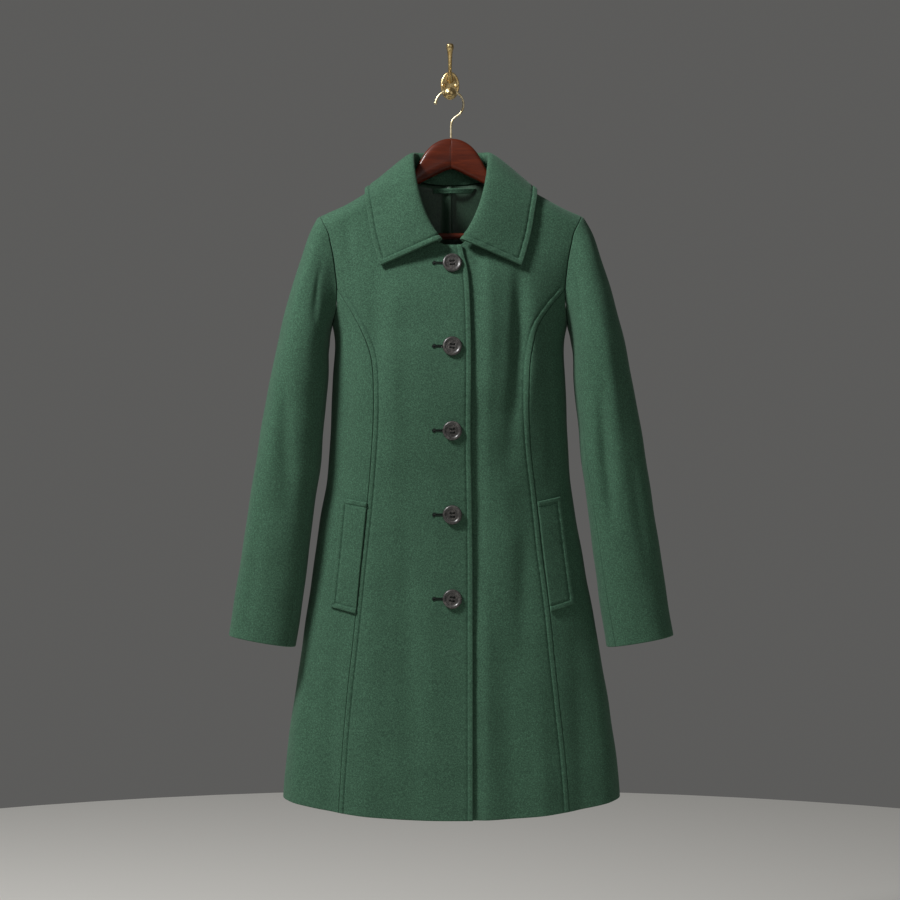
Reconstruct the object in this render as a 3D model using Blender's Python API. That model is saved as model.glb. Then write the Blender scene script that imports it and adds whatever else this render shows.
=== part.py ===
"""A single-breasted wool coat on a wooden hanger, hung from a brass wall hook.

Every size is in millimetres and becomes metres in make_object. +Z is up, the coat's front faces -Y and the
wall is the plane y = 0. The origin is the middle of the wall plate's rear face. "Right" and "left" are the
wearer's, so the right side is at -X.

The coat's outside is one smooth form, coat_form. Every panel is a patch of that form between its seams,
every wall is the patch and its copy moved along the form's normals, and what lies on a panel is moved out.
"""

import bmesh
import bpy
import numpy as np

MM = 0.001

# ---------------------------------------------------------------- driving sizes
CLOTH = 3.0  # melton wool
SATIN = 1.0
SEAM_GAP = 0.3  # between the edges of two pieces
LYING_GAP = 0.5  # between a piece and the one it lies on
LAP_GAP = 2.2  # between the two fronts
CENTRE = 1.5  # x of the coat's centre line
RIDGE_Y = -38.0  # the shoulder seams lie in this plane
SHOULDER_ROLL = 24.0  # height over which the shoulder turns down into front and back
FRONT_POWER = 2.3  # roundness of the body's section, 2 is an ellipse
BACK_POWER = 2.8

RIGHT, LEFT = -1, 1

for startup_object in list(bpy.data.objects):
    bpy.data.objects.remove(startup_object)

# half widths either side of the centre line, and where the centre front and centre back lie
BODY = np.array(
    [
        (-100, 250.0, 250.0, -60, -24.0),
        (-138, 246.0, 246.0, -66, -22.0),
        (-200, 233.0, 233.0, -80, -14.5),
        (-245, 214.0, 214.0, -92, -11.0),
        (-310, 189.0, 188.0, -108, -8.0),
        (-384, 171.5, 167.0, -120, -7.0),
        (-441, 174.5, 168.5, -124, -8.5),
        (-515, 178.0, 172.0, -120, -12.0),
        (-588, 182.5, 176.0, -114, -14.5),
        (-647, 193.5, 184.5, -112, -13.0),
        (-735, 205.5, 200.5, -113, -9.5),
        (-824, 218.0, 216.5, -116, -7.5),
        (-941, 235.5, 236.0, -120, -7.0),
        (-1044, 247.0, 248.5, -124, -7.0),
        (-1080, 249.0, 250.0, -125, -7.0),
    ],
    dtype=[(name, float) for name in ("height", "right", "left", "front", "back")],
)

# height of the shoulder line at a distance from the centre
SEAM = [("out", float), ("height", float)]
SHOULDER = np.array(
    [(0, -108), (30, -117), (60, -131), (90, -147), (122, -164), (160, -185), (196, -201), (240, -222)], dtype=SEAM
)

# seam lines, as distances from the centre at a height
SHOULDER_POINT = (192.5, -200.0)
NECK_POINT = 70.0
NAPE = -153.0
UNDERARM = -361.0
JUNCTION = (166.5, -310.0)  # the princess seam starts here, on the armhole
NECK_FRONT = np.array(
    [(0, -245.5), (16, -242.5), (30, -226), (42, -208), (52, -188), (60, -168), (66, -151), (69, -141)], dtype=SEAM
)
NECK_BACK = np.array([(0, NAPE), (25, -152), (45, -148.5), (60, -143)], dtype=SEAM)
ARMHOLE_FRONT = np.array(
    [SHOULDER_POINT, (187.5, -211), (180, -226), (176, -243), (172, -262), (169, -284), JUNCTION], dtype=SEAM
)
ARMHOLE_LOW = np.array([JUNCTION, (167, -325), (169, -342)], dtype=SEAM)  # on to the underarm
ARMHOLE_BACK = np.array(
    [SHOULDER_POINT, (186, -215), (181, -235), (178, -260), (175, -285), (172, -310), (170, -337)], dtype=SEAM
)
PRINCESS = np.array(
    [
        (-342, 146.0, 140.0),
        (-364, 134.0, 126.0),
        (-400, 119.5, 117.0),
        (-472, 112.5, 112.5),
        (-544, 115.0, 115.5),
        (-616, 121.0, 124.0),
        (-688, 128.0, 131.5),
        (-760, 135.5, 141.0),
        (-832, 143.0, 148.5),
        (-904, 151.0, 156.0),
        (-976, 157.0, 164.0),
    ],
    dtype=[("height", float), ("right", float), ("left", float)],
)
PRINCESS_AT_HEM = {RIGHT: 163.0, LEFT: 171.5}
# the right front's edge, from the neck down, as x
FRONT_EDGE = np.array(
    [
        (-244, 17.0),
        (-262, 20.5),
        (-277, 24.5),
        (-299, 27.5),
        (-328, 29.0),
        (-372, 30.3),
        (-544, 30.3),
        (-616, 31.7),
        (-702, 33.0),
    ],
    dtype=[("height", float), ("x", float)],
)
FRONT_EDGE_AT_HEM = 33.0
UNDER_EDGE = -24.0  # x of the left front's hidden edge
UNDER_LAP = (35.0, 57.0)  # x where the left front starts to come up, and where it is out
HEM_CENTRE, HEM_SIDE, HEM_OUT, HEM_POWER = -1077.0, -1055.0, 248.0, 2.2

# the sleeve's section: its outermost and innermost points, and how far forward and back it reaches
SLEEVE = np.array(
    [
        (192.5, -200, 177.0, -361, -77, -20),
        (201.0, -203, 177.8, -364, -80, -18),
        (209.0, -211, 178.4, -367, -84, -16),
        (217.0, -229, 179.0, -371, -90, -14),
        (225.5, -251, 179.5, -375, -96, -12),
        (234.0, -291, 180.0, -381, -104, -10),
        (243.0, -327, 180.0, -390, -109, -9),
        (254.0, -378, 179.8, -404, -112, -9),
        (264.0, -432, 179.8, -440, -112, -10),
        (271.0, -471, 183.0, -474, -111, -12),
        (279.5, -518, 187.5, -520, -110, -14),
        (285.0, -556, 190.5, -559, -109, -15),
        (294.0, -617, 199.0, -621, -107, -17),
        (307.0, -698, 209.5, -704, -104, -19),
        (320.0, -781, 221.0, -790, -101, -22),
        (325.5, -815, 227.5, -832, -100, -23),
    ],
    dtype=[(name, float) for name in ("out", "out_height", "in_", "in_height", "front", "back")],
)
SLEEVE_POWER = 2.25
SLEEVE_DRIFT = (0.15, 0.6)  # shares between which its inner and outer lines move forward to its middle
SLEEVE_SETTLED = 0.30  # share of the sleeve's length over which the armhole's shape turns into an oval
FRONT_SEAM_TURN, BACK_SEAM_TURN = -24.0, -6.0  # degrees the sleeve's two seams turn on the way to the cuff

# the collar, half of it, from its front end to the centre back
COLLAR = np.array(
    [
        # where it joins the neck, how far off the form, the top of the roll, and the outer edge
        (16.0, -242.5, 3.0, 15.5, -103.0, -240.0, 101.5, -278.0),
        (23.0, -235.0, 3.0, 22.0, -101.5, -231.0, 105.0, -268.0),
        (32.5, -223.0, 3.0, 31.0, -99.0, -217.0, 109.5, -253.0),
        (43.5, -205.0, 3.0, 40.0, -95.5, -198.0, 114.5, -235.0),
        (53.0, -185.5, 3.0, 46.5, -91.5, -180.0, 118.5, -216.0),
        (60.0, -168.0, 3.4, 51.5, -86.0, -162.0, 121.5, -198.0),
        (66.0, -151.0, 4.0, 55.0, -78.0, -143.0, 123.5, -182.0),
        (69.0, -141.0, 4.2, 57.0, -65.0, -124.0, 123.5, -170.0),
        (70.0, -136.2, 3.6, 57.5, -49.0, -111.5, 122.5, -164.4),
        (69.0, -136.4, 3.4, 57.0, -37.0, -108.0, 120.0, -166.5),
        (66.0, -137.2, 3.0, 55.5, -28.5, -106.0, 115.0, -173.0),
        (57.5, -142.0, 2.2, 50.0, -20.0, -105.0, 103.0, -183.0),
        (42.0, -147.5, 0.8, 38.0, -16.0, -105.0, 80.0, -189.5),
        (22.0, -150.8, -0.3, 20.0, -15.0, -105.0, 42.0, -190.5),
        (0.0, -152.0, -0.3, 0.0, -15.0, -105.0, 0.0, -190.5),
    ],
    dtype=[
        (name, float)
        for name in ("neck", "neck_height", "neck_lift", "roll", "roll_y", "roll_height", "edge", "edge_height")
    ],
)
SHOULDER_STATION = 8  # the row of COLLAR that lies on the shoulder line
COLLAR_CLOTH = 2.5
LAYER_GAP = 0.8  # between the collar's two layers
ROLL_IN, ROLL_OUT = 18.0, 30.0  # how strongly the stand and the fall leave the roll level
STAND_PULL = 1.1  # how strongly the stand leaves the neck towards the roll
EDGE_PULL = 30.0
NECK_MIDDLE_Y = -55.0
EDGE_LIFT = 5.0  # of the collar's middle layer off the form, at its outer edge

# pocket welts, corners as (distance from the centre, height), top inner corner first
WELT_RIGHT = ((121.0, -620.0), (157.5, -614.0), (174.0, -772.0), (137.0, -781.0))
WELT_LEFT = ((124.5, -619.0), (157.5, -612.0), (178.5, -768.0), (143.0, -778.0))

BUTTON_X = 3.4
BUTTON_TOP, BUTTON_STEP = -273.5, -121.3  # height of the first button, and from each to the next
BUTTON_LIFTS = (0.45, 0.35, 0.5, 1.2, 0.7)  # off the form, so that each clears the panel's facets below it
BUTTON_RADIUS = 14.0
# its turned outline, from the back round to the dished middle: distance in from its radius, and rise
BUTTON_OUTLINE = [(2.5, 0.0), (0.0, 1.4), (0.0, 2.8), (1.4, 4.0), (3.2, 3.7), (4.6, 2.7)]

LOOP_X = (-26.0, 38.0)
LOOP_HEIGHTS = (-155.5, -163.0)
LOOP_BOW = 5.7  # it clears the fold of the pleat
LOOP_CLOTH = 1.8
WELT_LIFT = 1.5  # it clears the panel's facets, which stand out where the form is hollow

HANGER = np.array(
    [
        (0.0, -84.0, -129.0, 8.0),
        (9.0, -85.0, -132.0, 8.0),
        (20.0, -89.0, -137.5, 8.0),
        (30.0, -96.0, -142.5, 8.0),
        (38.0, -105.0, -146.5, 8.0),
        (46.0, -118.0, -151.0, 8.0),
        (53.0, -130.5, -155.0, 8.0),
        (62.0, -139.5, -161.0, 8.0),
        (80.0, -150.0, -172.0, 9.0),
        (105.0, -163.5, -187.0, 10.5),
        (130.0, -177.5, -204.0, 12.0),
        (148.0, -187.5, -236.0, 12.5),
        (163.0, -196.0, -244.0, 12.5),
        (176.0, -203.0, -240.0, 11.5),
        (184.0, -210.0, -228.0, 7.0),
    ],
    dtype=[(name, float) for name in ("out", "top", "bottom", "half")],
)
HANGER_POWER = 2.6
HANGER_CENTRE_Y = -36.0
HANGER_SWEEP = 0.09  # the arms come forward by this share of their length
BAR_HEIGHT = -230.0
BAR_RADIUS = 4.8
BAR_REACH = 158.0

WIRE_RADIUS = 1.6
WIRE_STEM = [(1.5, -83.6), (1.5, -75.0), (1.6, -66.0), (3.4, -57.5), (8.6, -52.0)]
WIRE_ARC = (-0.6, -33.6, 20.6, -42.0, 168.0)  # centre x, centre z, radius, first and last angle
WIRE_Y = -36.0
WIRE_TIP = [(0.6, 2.0), (1.8, 2.6), (3.4, 2.6), (4.8, 1.4)]  # its ball: distance past the end, and radius

PLATE_HALF_WIDTH, PLATE_HALF_HEIGHT, PLATE_THICKNESS = 14.0, 21.0, 3.0
PLATE_LAYERS = [(1.0, 0.0), (1.0, 0.6), (0.93, 0.9), (0.8, 1.0)]  # share of its outline, and of its thickness
LOWER_PRONG = np.array(
    [
        (-1.0, -8.0, 6.0),
        (-6.0, -9.5, 5.2),
        (-15.0, -13.4, 4.2),
        (-25.0, -17.2, 3.6),
        (-34.0, -18.4, 3.4),
        (-41.0, -18.6, 3.6),
        (-43.0, -18.9, 6.5),
        (-46.0, -19.3, 8.6),
        (-50.0, -19.8, 9.3),
        (-54.0, -20.2, 8.2),
        (-57.0, -20.5, 5.0),
    ],
    dtype=[("y", float), ("height", float), ("radius", float)],
)
UPPER_PRONG = np.array(
    [
        (-1.0, 9.0, 6.0),
        (-5.0, 11.5, 4.8),
        (-10.0, 15.0, 3.6),
        (-17.0, 20.0, 2.8),
        (-25.0, 27.0, 2.8),
        (-32.0, 36.0, 3.2),
        (-37.0, 45.0, 4.2),
        (-40.0, 51.0, 5.6),
        (-41.0, 53.5, 5.0),
    ],
    dtype=[("y", float), ("height", float), ("radius", float)],
)
SCREWS = ((-9.6, 0.0), (9.6, 0.0))
SCREW_RADIUS = 3.0
SCREW_HEIGHT = 1.4
SCREW_LAYERS = [(1.0, 0.0), (0.96, 0.5), (0.72, 0.85), (0.3, 1.0)]  # share of its radius, and of its height

# name of a material: its colour, roughness and metallic value
FINISHES = {
    "wool_melton": ((0.045, 0.130, 0.072), 0.95, 0.0),
    "satin_lining": ((0.014, 0.045, 0.027), 0.45, 0.0),
    "horn_button": ((0.030, 0.026, 0.024), 0.30, 0.0),
    "mahogany": ((0.130, 0.022, 0.010), 0.22, 0.0),
    "brass": ((0.620, 0.400, 0.130), 0.25, 1.0),
}


# ---------------------------------------------------------------- curves and surfaces
FORM_ROUNDS = 14  # the width depends on the height and the height on the width, so they are found in rounds
TURN_STEP, PATH_STEP = 0.002, 0.2  # over which the form's slopes are measured, in radians and millimetres


def through(places, values, at):
    """Smooth curve through a table's points: a cubic between each two, its slopes taken from the neighbours."""
    places, values, at = (np.asarray(given, float) for given in (places, values, at))
    if places[0] > places[-1]:
        places, values = places[::-1], values[::-1]
    wide = (slice(None),) + (None,) * (values.ndim - 1)
    step = np.diff(places)
    rise = np.diff(values, axis=0) / step[wide]
    share = (step[1:] / (step[1:] + step[:-1]))[wide]
    slope = np.concatenate([rise[:1], share * rise[:-1] + (1 - share) * rise[1:], rise[-1:]])
    index = np.clip(np.searchsorted(places, at) - 1, 0, len(places) - 2)
    tail = (...,) + (None,) * (values.ndim - 1)
    run = step[index][tail]
    t = np.clip((at - places[index]) / step[index], 0, 1)[tail]
    start = values[index] + (values[index + 1] - values[index]) * t * t * (3 - 2 * t)
    return start + t * (1 - t) * run * ((1 - t) * slope[index] - t * slope[index + 1])


def along(points, shares):
    """Points at these shares of the length of a smooth curve through the given points."""
    points = np.asarray(points, float)
    lengths = np.concatenate([[0], np.cumsum(np.linalg.norm(np.diff(points, axis=0), axis=1))])
    return through(lengths, points, np.asarray(shares) * lengths[-1])


def smooth_step(value, low, high):
    t = np.clip((value - low) / (high - low), 0, 1)
    return t * t * (3 - 2 * t)


def signed_power(value, power):
    return np.sign(value) * np.abs(value) ** power


def unit(vectors):
    return vectors / np.linalg.norm(vectors, axis=-1, keepdims=True)


def shoulder_height(x):
    return through(SHOULDER["out"], SHOULDER["height"], np.abs(x - CENTRE))


def half_width(height, side):
    right = through(BODY["height"], BODY["right"], height)
    left = through(BODY["height"], BODY["left"], height)
    return np.where(np.asarray(side) < 0, right, left)


def coat_form(turn, path):
    """The coat's outside. turn goes round it, 0 at the centre front, a quarter circle at each side seam and a half
    circle at the centre back. path is the way down from the shoulder line, over its roll and then straight down."""
    turn, path = np.broadcast_arrays(np.asarray(turn, float), np.asarray(path, float))
    roll_end = SHOULDER_ROLL * np.pi / 2
    bend = np.clip(path, 0, roll_end) / SHOULDER_ROLL
    drop = SHOULDER_ROLL * (1 - np.cos(bend)) + np.clip(path - roll_end, 0, None)
    front = np.cos(turn) >= 0
    power = np.where(front, FRONT_POWER, BACK_POWER)
    reach = signed_power(np.sin(turn), 2 / power)
    x = np.full(turn.shape, CENTRE)
    for _ in range(FORM_ROUNDS):
        height = shoulder_height(x) - drop
        x = CENTRE + half_width(height, np.sin(turn)) * reach
    centre_front = through(BODY["height"], BODY["front"], height)
    centre_back = through(BODY["height"], BODY["back"], height)
    depth = np.where(front, centre_front, centre_back) - RIDGE_Y
    y = RIDGE_Y + depth * np.sin(bend) * np.abs(np.cos(turn)) ** (2 / power)
    return np.stack([x, y, height], -1)


def form_place(x, height, back=False):
    """(turn, path) of the point of the form at this x and height, on its front or back."""
    x, height = np.broadcast_arrays(np.asarray(x, float), np.asarray(height, float))
    power = BACK_POWER if back else FRONT_POWER
    share = np.clip((x - CENTRE) / half_width(height, x - CENTRE), -1, 1)
    turn = np.arcsin(signed_power(share, power / 2))
    if back:
        turn = np.where(x < CENTRE, -np.pi, np.pi) - turn
    drop = np.clip(shoulder_height(x) - height, 0, None)
    bend = np.arccos(np.clip(1 - drop / SHOULDER_ROLL, -1, 1))
    path = np.where(drop < SHOULDER_ROLL, SHOULDER_ROLL * bend, drop + SHOULDER_ROLL * (np.pi / 2 - 1))
    return np.stack([turn, path], -1)


def form_normals(turn, path):
    """Outward normals of the form."""
    across = coat_form(turn + TURN_STEP, path) - coat_form(turn - TURN_STEP, path)
    down = coat_form(turn, path + PATH_STEP) - coat_form(turn, np.clip(path - PATH_STEP, 0, None))
    normal = unit(np.cross(across, down))
    here = coat_form(turn, path)
    middle = np.stack([np.full(here.shape[:-1], CENTRE), np.full(here.shape[:-1], RIDGE_Y), here[..., 2] - 20], -1)
    outward = np.sign(np.sum(normal * (here - middle), axis=-1, keepdims=True))
    return normal * outward


def lifted(places, lift):
    """Points of the form at the given (turn, path) places, moved out by lift, or in where it is negative."""
    turn, path = places[..., 0], places[..., 1]
    return coat_form(turn, path) + np.asarray(lift)[..., None] * form_normals(turn, path)


def grid_normals(grid):
    """Unit normals of a grid of points, from the lines that cross at each."""
    return unit(np.cross(np.gradient(grid, axis=1), np.gradient(grid, axis=0)))


def patch(top, bottom, inner, outer, shares):
    """A four-sided patch between its edges: the mean of the two ways across, less what the corners count twice."""
    u = np.linspace(0, 1, len(top))[None, :, None]
    v = np.asarray(shares)[:, None, None]
    sideways = (1 - u) * inner[:, None] + u * outer[:, None]
    downways = (1 - v) * top[None] + v * bottom[None]
    corners = (1 - u) * (1 - v) * top[0] + u * (1 - v) * top[-1] + (1 - u) * v * bottom[0] + u * v * bottom[-1]
    return sideways + downways - corners


# ---------------------------------------------------------------- meshes
def material(finish):
    if finish not in bpy.data.materials:
        colour, roughness, metallic = FINISHES[finish]
        made = bpy.data.materials.new(finish)
        made.use_nodes = True
        shader = made.node_tree.nodes["Principled BSDF"]
        shader.inputs["Base Color"].default_value = (*colour, 1)
        shader.inputs["Roughness"].default_value = roughness
        shader.inputs["Metallic"].default_value = metallic
    return bpy.data.materials[finish]


def make_object(name, points, faces, finish, smooth_angle=0.7):
    """A closed mesh object from points in millimetres, its faces turned outwards."""
    mesh = bpy.data.meshes.new(name)
    mesh.from_pydata((np.asarray(points) * MM).tolist(), [], faces)
    work = bmesh.new()
    work.from_mesh(mesh)
    bmesh.ops.recalc_face_normals(work, faces=work.faces)
    work.to_mesh(mesh)
    work.free()
    mesh.shade_smooth()
    mesh.set_sharp_from_angle(angle=smooth_angle)
    mesh.materials.append(material(finish))
    made = bpy.data.objects.new(name, mesh)
    bpy.context.collection.objects.link(made)
    return made


def wall(name, outside, inside, finish):
    """A closed wall between two grids of points."""
    rows, columns = outside.shape[:2]
    index = np.arange(rows * columns).reshape(rows, columns)
    first = np.stack([index[:-1, :-1], index[:-1, 1:], index[1:, 1:]], -1).reshape(-1, 3)
    second = np.stack([index[:-1, :-1], index[1:, 1:], index[1:, :-1]], -1).reshape(-1, 3)
    facets = np.concatenate([first, second])
    border = np.concatenate([index[0, :-1], index[:-1, -1], index[-1, :0:-1], index[:0:-1, 0]])
    following = np.roll(border, -1)
    behind = rows * columns
    rim = np.stack([border, following, following + behind, border + behind], -1)
    faces = facets.tolist() + (facets[:, ::-1] + behind).tolist() + rim.tolist()
    points = np.concatenate([outside.reshape(-1, 3), inside.reshape(-1, 3)])
    return make_object(name, points, faces, finish)


def skin(name, rings, finish):
    """A closed body from rings of points, its two ends closed by a face each."""
    count, sides = rings.shape[:2]
    index = np.arange(count * sides).reshape(count, sides)
    after = np.roll(index, -1, axis=1)
    quads = np.stack([index[:-1], after[:-1], after[1:], index[1:]], -1).reshape(-1, 4)
    faces = quads.tolist() + [index[0].tolist(), index[-1][::-1].tolist()]
    return make_object(name, rings.reshape(-1, 3), faces, finish)


def tube(name, centres, radii, finish, sides=12):
    """A round bar along a route that lies in a plane x = constant, with its radius at each point."""
    centres = np.asarray(centres, float)
    forward = unit(np.gradient(centres, axis=0))
    sideways = np.array([1.0, 0.0, 0.0])
    upright = np.cross(forward, sideways)
    angles = np.linspace(0, 2 * np.pi, sides, endpoint=False)[None, :, None]
    around = np.cos(angles) * sideways + np.sin(angles) * upright[:, None]
    return skin(name, centres[:, None] + np.asarray(radii)[:, None, None] * around, finish)


def joined(target, *others):
    """One body from several that cut into each other."""
    for other in others:
        union = target.modifiers.new("join", "BOOLEAN")
        union.operation = "UNION"
        union.solver = "EXACT"
        union.object = other
        hide(other)
    return target


def cut(target, cutter):
    difference = target.modifiers.new("cut", "BOOLEAN")
    difference.operation = "DIFFERENCE"
    difference.solver = "EXACT"
    difference.object = cutter
    hide(cutter)
    return target


def hide(helper):
    helper.hide_render = True
    helper.display_type = "WIRE"


# ---------------------------------------------------------------- the coat's body
def side_name(side):
    return "right" if side == RIGHT else "left"


def hem_height(x):
    share = np.clip(np.abs(np.asarray(x, float) - CENTRE) / HEM_OUT, 0, 1)
    return HEM_CENTRE + (HEM_SIDE - HEM_CENTRE) * share**HEM_POWER


def seam(table, shares, side, back=False):
    """Form places at these shares of a seam line that a table of (out, height) gives."""
    line = along(np.stack([table["out"], table["height"]], -1), shares)
    return form_place(CENTRE + side * line[:, 0], line[:, 1], back)


def princess_line(side):
    out = PRINCESS["right" if side == RIGHT else "left"]
    middle = list(zip(out, PRINCESS["height"]))
    foot = PRINCESS_AT_HEM[side]
    return np.array([JUNCTION, *middle, (foot, hem_height(CENTRE + foot))], dtype=SEAM)


def to_underarm(table, side):
    """An armhole line carried on to the underarm, where the side seam starts."""
    return np.concatenate([table, np.array([(half_width(UNDERARM, side), UNDERARM)], dtype=SEAM)])


def hem_edge(first, last, count, back=False):
    """The hem between two x values."""
    x = np.linspace(first, last, count)
    return form_place(x, hem_height(x), back)


def drawn_in(places):
    """Places drawn in at the patch's border by half a seam gap, so that neighbours never touch."""
    points = coat_form(places[..., 0], places[..., 1])
    moved = places.copy()
    for axis, edge, next_in in ((1, 0, 1), (1, -1, -2), (0, 0, 1), (0, -1, -2)):
        inward = np.take(places, [next_in], axis) - np.take(places, [edge], axis)
        length = np.linalg.norm(np.take(points, [next_in], axis) - np.take(points, [edge], axis), axis=-1)
        border = [slice(None), slice(None)]
        border[axis] = slice(edge, edge + 1 or None)
        moved[tuple(border)] += inward * (SEAM_GAP / 2 / length)[..., None]
    return moved


def panel(name, places, sink=0.0, finish="wool_melton", thickness=CLOTH):
    """A piece of cloth on the form, or sunk below it, as a wall."""
    places = drawn_in(places)
    sink = np.broadcast_to(sink, places.shape[:2])
    return wall(name, lifted(places, -sink), lifted(places, -sink - thickness), finish)


NECK_COLUMNS, SHOULDER_COLUMNS = 5, 4
NECK_CROWDING = 1.6  # its columns are closer together towards the shoulder
LOWER_ROWS = 9  # rows of every panel below the armhole
ROW_CROWDING = 1.3  # rows are closer together towards the shoulder
# the armhole's points, as angles from the shoulder point: over the front to the princess seam, on to the
# underarm, and over the back. The sleeve's columns start from the same points.
JUNCTION_ANGLE = 108.8
ARMHOLE_ANGLES_FRONT = np.radians([0, 20, 40, 62, 85, JUNCTION_ANGLE])
ARMHOLE_ANGLES_LOW = np.radians([JUNCTION_ANGLE, 122, 135, 149, 162, 180])
ARMHOLE_ANGLES_BACK = -np.radians([0, 20, 40, 61, 82, 102, 122, 142, 161, 180])
ARMHOLE_DEPTH_FRONT, ARMHOLE_DEPTH_BACK = 0.11, 0.22  # the armhole's share of a panel's length


def row_shares(count, crowding=ROW_CROWDING):
    return np.linspace(0, 1, count) ** crowding


def panel_shares(armhole_rows, armhole_depth):
    """Shares of a panel's length for its rows: even ones beside the armhole, then the lower rows."""
    upper = np.linspace(0, armhole_depth, armhole_rows + 1)
    return np.concatenate([upper, armhole_depth + (1 - armhole_depth) * row_shares(LOWER_ROWS + 1)[1:]])


def neck_and_shoulder(table, side, back, edge_x=None):
    """The top of a front or a back: its neck line and then its shoulder seam."""
    neck = np.stack([CENTRE + side * table["out"], table["height"]], -1)
    if edge_x is not None:
        neck[0, 0] = edge_x
    neck = np.concatenate([neck, [(CENTRE + side * NECK_POINT, shoulder_height(CENTRE + NECK_POINT))]])
    neck = along(neck, 1 - row_shares(NECK_COLUMNS + 1, NECK_CROWDING)[::-1])
    x = CENTRE + side * np.linspace(NECK_POINT, SHOULDER_POINT[0], SHOULDER_COLUMNS + 1)[1:]
    x = np.concatenate([neck[:, 0], x])
    height = np.concatenate([neck[:, 1], shoulder_height(x[NECK_COLUMNS + 1 :])])
    return form_place(x, height, back)


def side_seam(side):
    heights = UNDERARM + row_shares(LOWER_ROWS + 1) * (HEM_SIDE - UNDERARM)
    places = form_place(CENTRE + side * half_width(heights, side), heights)
    places[:, 0] = side * np.pi / 2
    return places


def front_places(side):
    """A front, from its edge to the armhole and the princess seam. Rows run down and columns run outwards."""
    shares = panel_shares(len(ARMHOLE_ANGLES_FRONT) - 1, ARMHOLE_DEPTH_FRONT)
    top_height = NECK_FRONT["height"][0]
    hem_x = FRONT_EDGE_AT_HEM if side == RIGHT else UNDER_EDGE
    heights = top_height + shares * (hem_height(hem_x) - top_height)
    edge = np.full(len(shares), UNDER_EDGE)
    if side == RIGHT:
        edge = through(FRONT_EDGE["height"], FRONT_EDGE["x"], heights)
    inner = form_place(edge, heights)
    outer = np.concatenate(
        [armhole_ring(ARMHOLE_ANGLES_FRONT, side), seam(princess_line(side), row_shares(LOWER_ROWS + 1), side)[1:]]
    )
    top = neck_and_shoulder(NECK_FRONT, side, False, edge[0])
    bottom = hem_edge(hem_x, CENTRE + side * PRINCESS_AT_HEM[side], len(top))
    return patch(top, bottom, inner, outer, shares)


def side_front_places(side):
    """A side front, from the princess seam to the side seam."""
    inner = seam(princess_line(side), row_shares(LOWER_ROWS + 1), side)
    outer = side_seam(side)
    top = armhole_ring(ARMHOLE_ANGLES_LOW, side)
    spread = np.linspace(0, 1, len(top))[:, None]
    bottom = on_hem(inner[-1] * (1 - spread) + outer[-1] * spread)
    return patch(top, bottom, inner, outer, row_shares(LOWER_ROWS + 1))


def back_places(side):
    """A back, from the centre-back seam to the armhole and the side seam."""
    shares = panel_shares(len(ARMHOLE_ANGLES_BACK) - 1, ARMHOLE_DEPTH_BACK)
    heights = NAPE + shares * (HEM_CENTRE - NAPE)
    inner = form_place(CENTRE, heights, True)
    inner[:, 0] = side * np.pi
    outer = np.concatenate([armhole_ring(ARMHOLE_ANGLES_BACK, side), side_seam(side)[1:]])
    top = neck_and_shoulder(NECK_BACK, side, True)
    top[0, 0] = side * np.pi
    outer[0] = top[-1]
    spread = np.linspace(0, 1, len(top))[:, None]
    bottom = on_hem(inner[-1] * (1 - spread) + outer[-1] * spread)
    return patch(top, bottom, inner, outer, shares)


def on_hem(places):
    """Places moved up or down to the hem."""
    points = coat_form(places[:, 0], places[:, 1])
    places[:, 1] += points[:, 2] - hem_height(points[:, 0])
    return places


def lap_sink(places):
    """How deep the left front lies below the form: under the right front's edge, coming up beyond it."""
    x = coat_form(places[..., 0], places[..., 1])[..., 0]
    return (CLOTH + LAP_GAP) * (1 - smooth_step(x, *UNDER_LAP))


def make_body():
    for side in (RIGHT, LEFT):
        front = front_places(side)
        panel(f"front_{side_name(side)}", front, 0.0 if side == RIGHT else lap_sink(front))
        panel(f"side_front_{side_name(side)}", side_front_places(side))
        panel(f"back_{side_name(side)}", back_places(side))


# ---------------------------------------------------------------- sleeves
SLEEVE_STEP = 0.004  # of share or angle, over which the sleeve's slopes are measured
SLEEVE_ROWS = 16
SLEEVE_CROWDING = 1.3
SLEEVE_START = 0.5  # how far the sleeve stays clear of the armhole
SLEEVE_SEAM_GAP = 0.005  # radians
BACK_SEAM_POINT = 6  # the point of the back armhole where the sleeve's back seam starts
MITRE_FADE = (0.15, 0.7)  # over which the mitre fades out, as 1 - cos of the angle from the shoulder point


def oval(angle, power):
    """The two coordinates of a superellipse: 1 at its outermost point and at its foremost."""
    return signed_power(np.cos(angle), 2 / power), signed_power(np.sin(angle), 2 / power)


def armhole_ring(angle, side):
    """Places of the armhole line, by the angle from the shoulder point: over the front at a quarter circle."""
    across, _ = oval(angle, SLEEVE_POWER)
    top, low = shoulder_height(CENTRE + SHOULDER_POINT[0]), UNDERARM
    height = (top + low) / 2 + (top - low) / 2 * across
    front_line = to_underarm(np.concatenate([ARMHOLE_FRONT, ARMHOLE_LOW[1:]]), side)
    back_line = to_underarm(ARMHOLE_BACK, side)
    front_out = through(front_line["height"], front_line["out"], height)
    back_out = through(back_line["height"], back_line["out"], height)
    front = form_place(CENTRE + side * front_out, height)
    back = form_place(CENTRE + side * back_out, height, True)
    return np.where((np.sin(angle) >= 0)[..., None], front, back)


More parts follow.
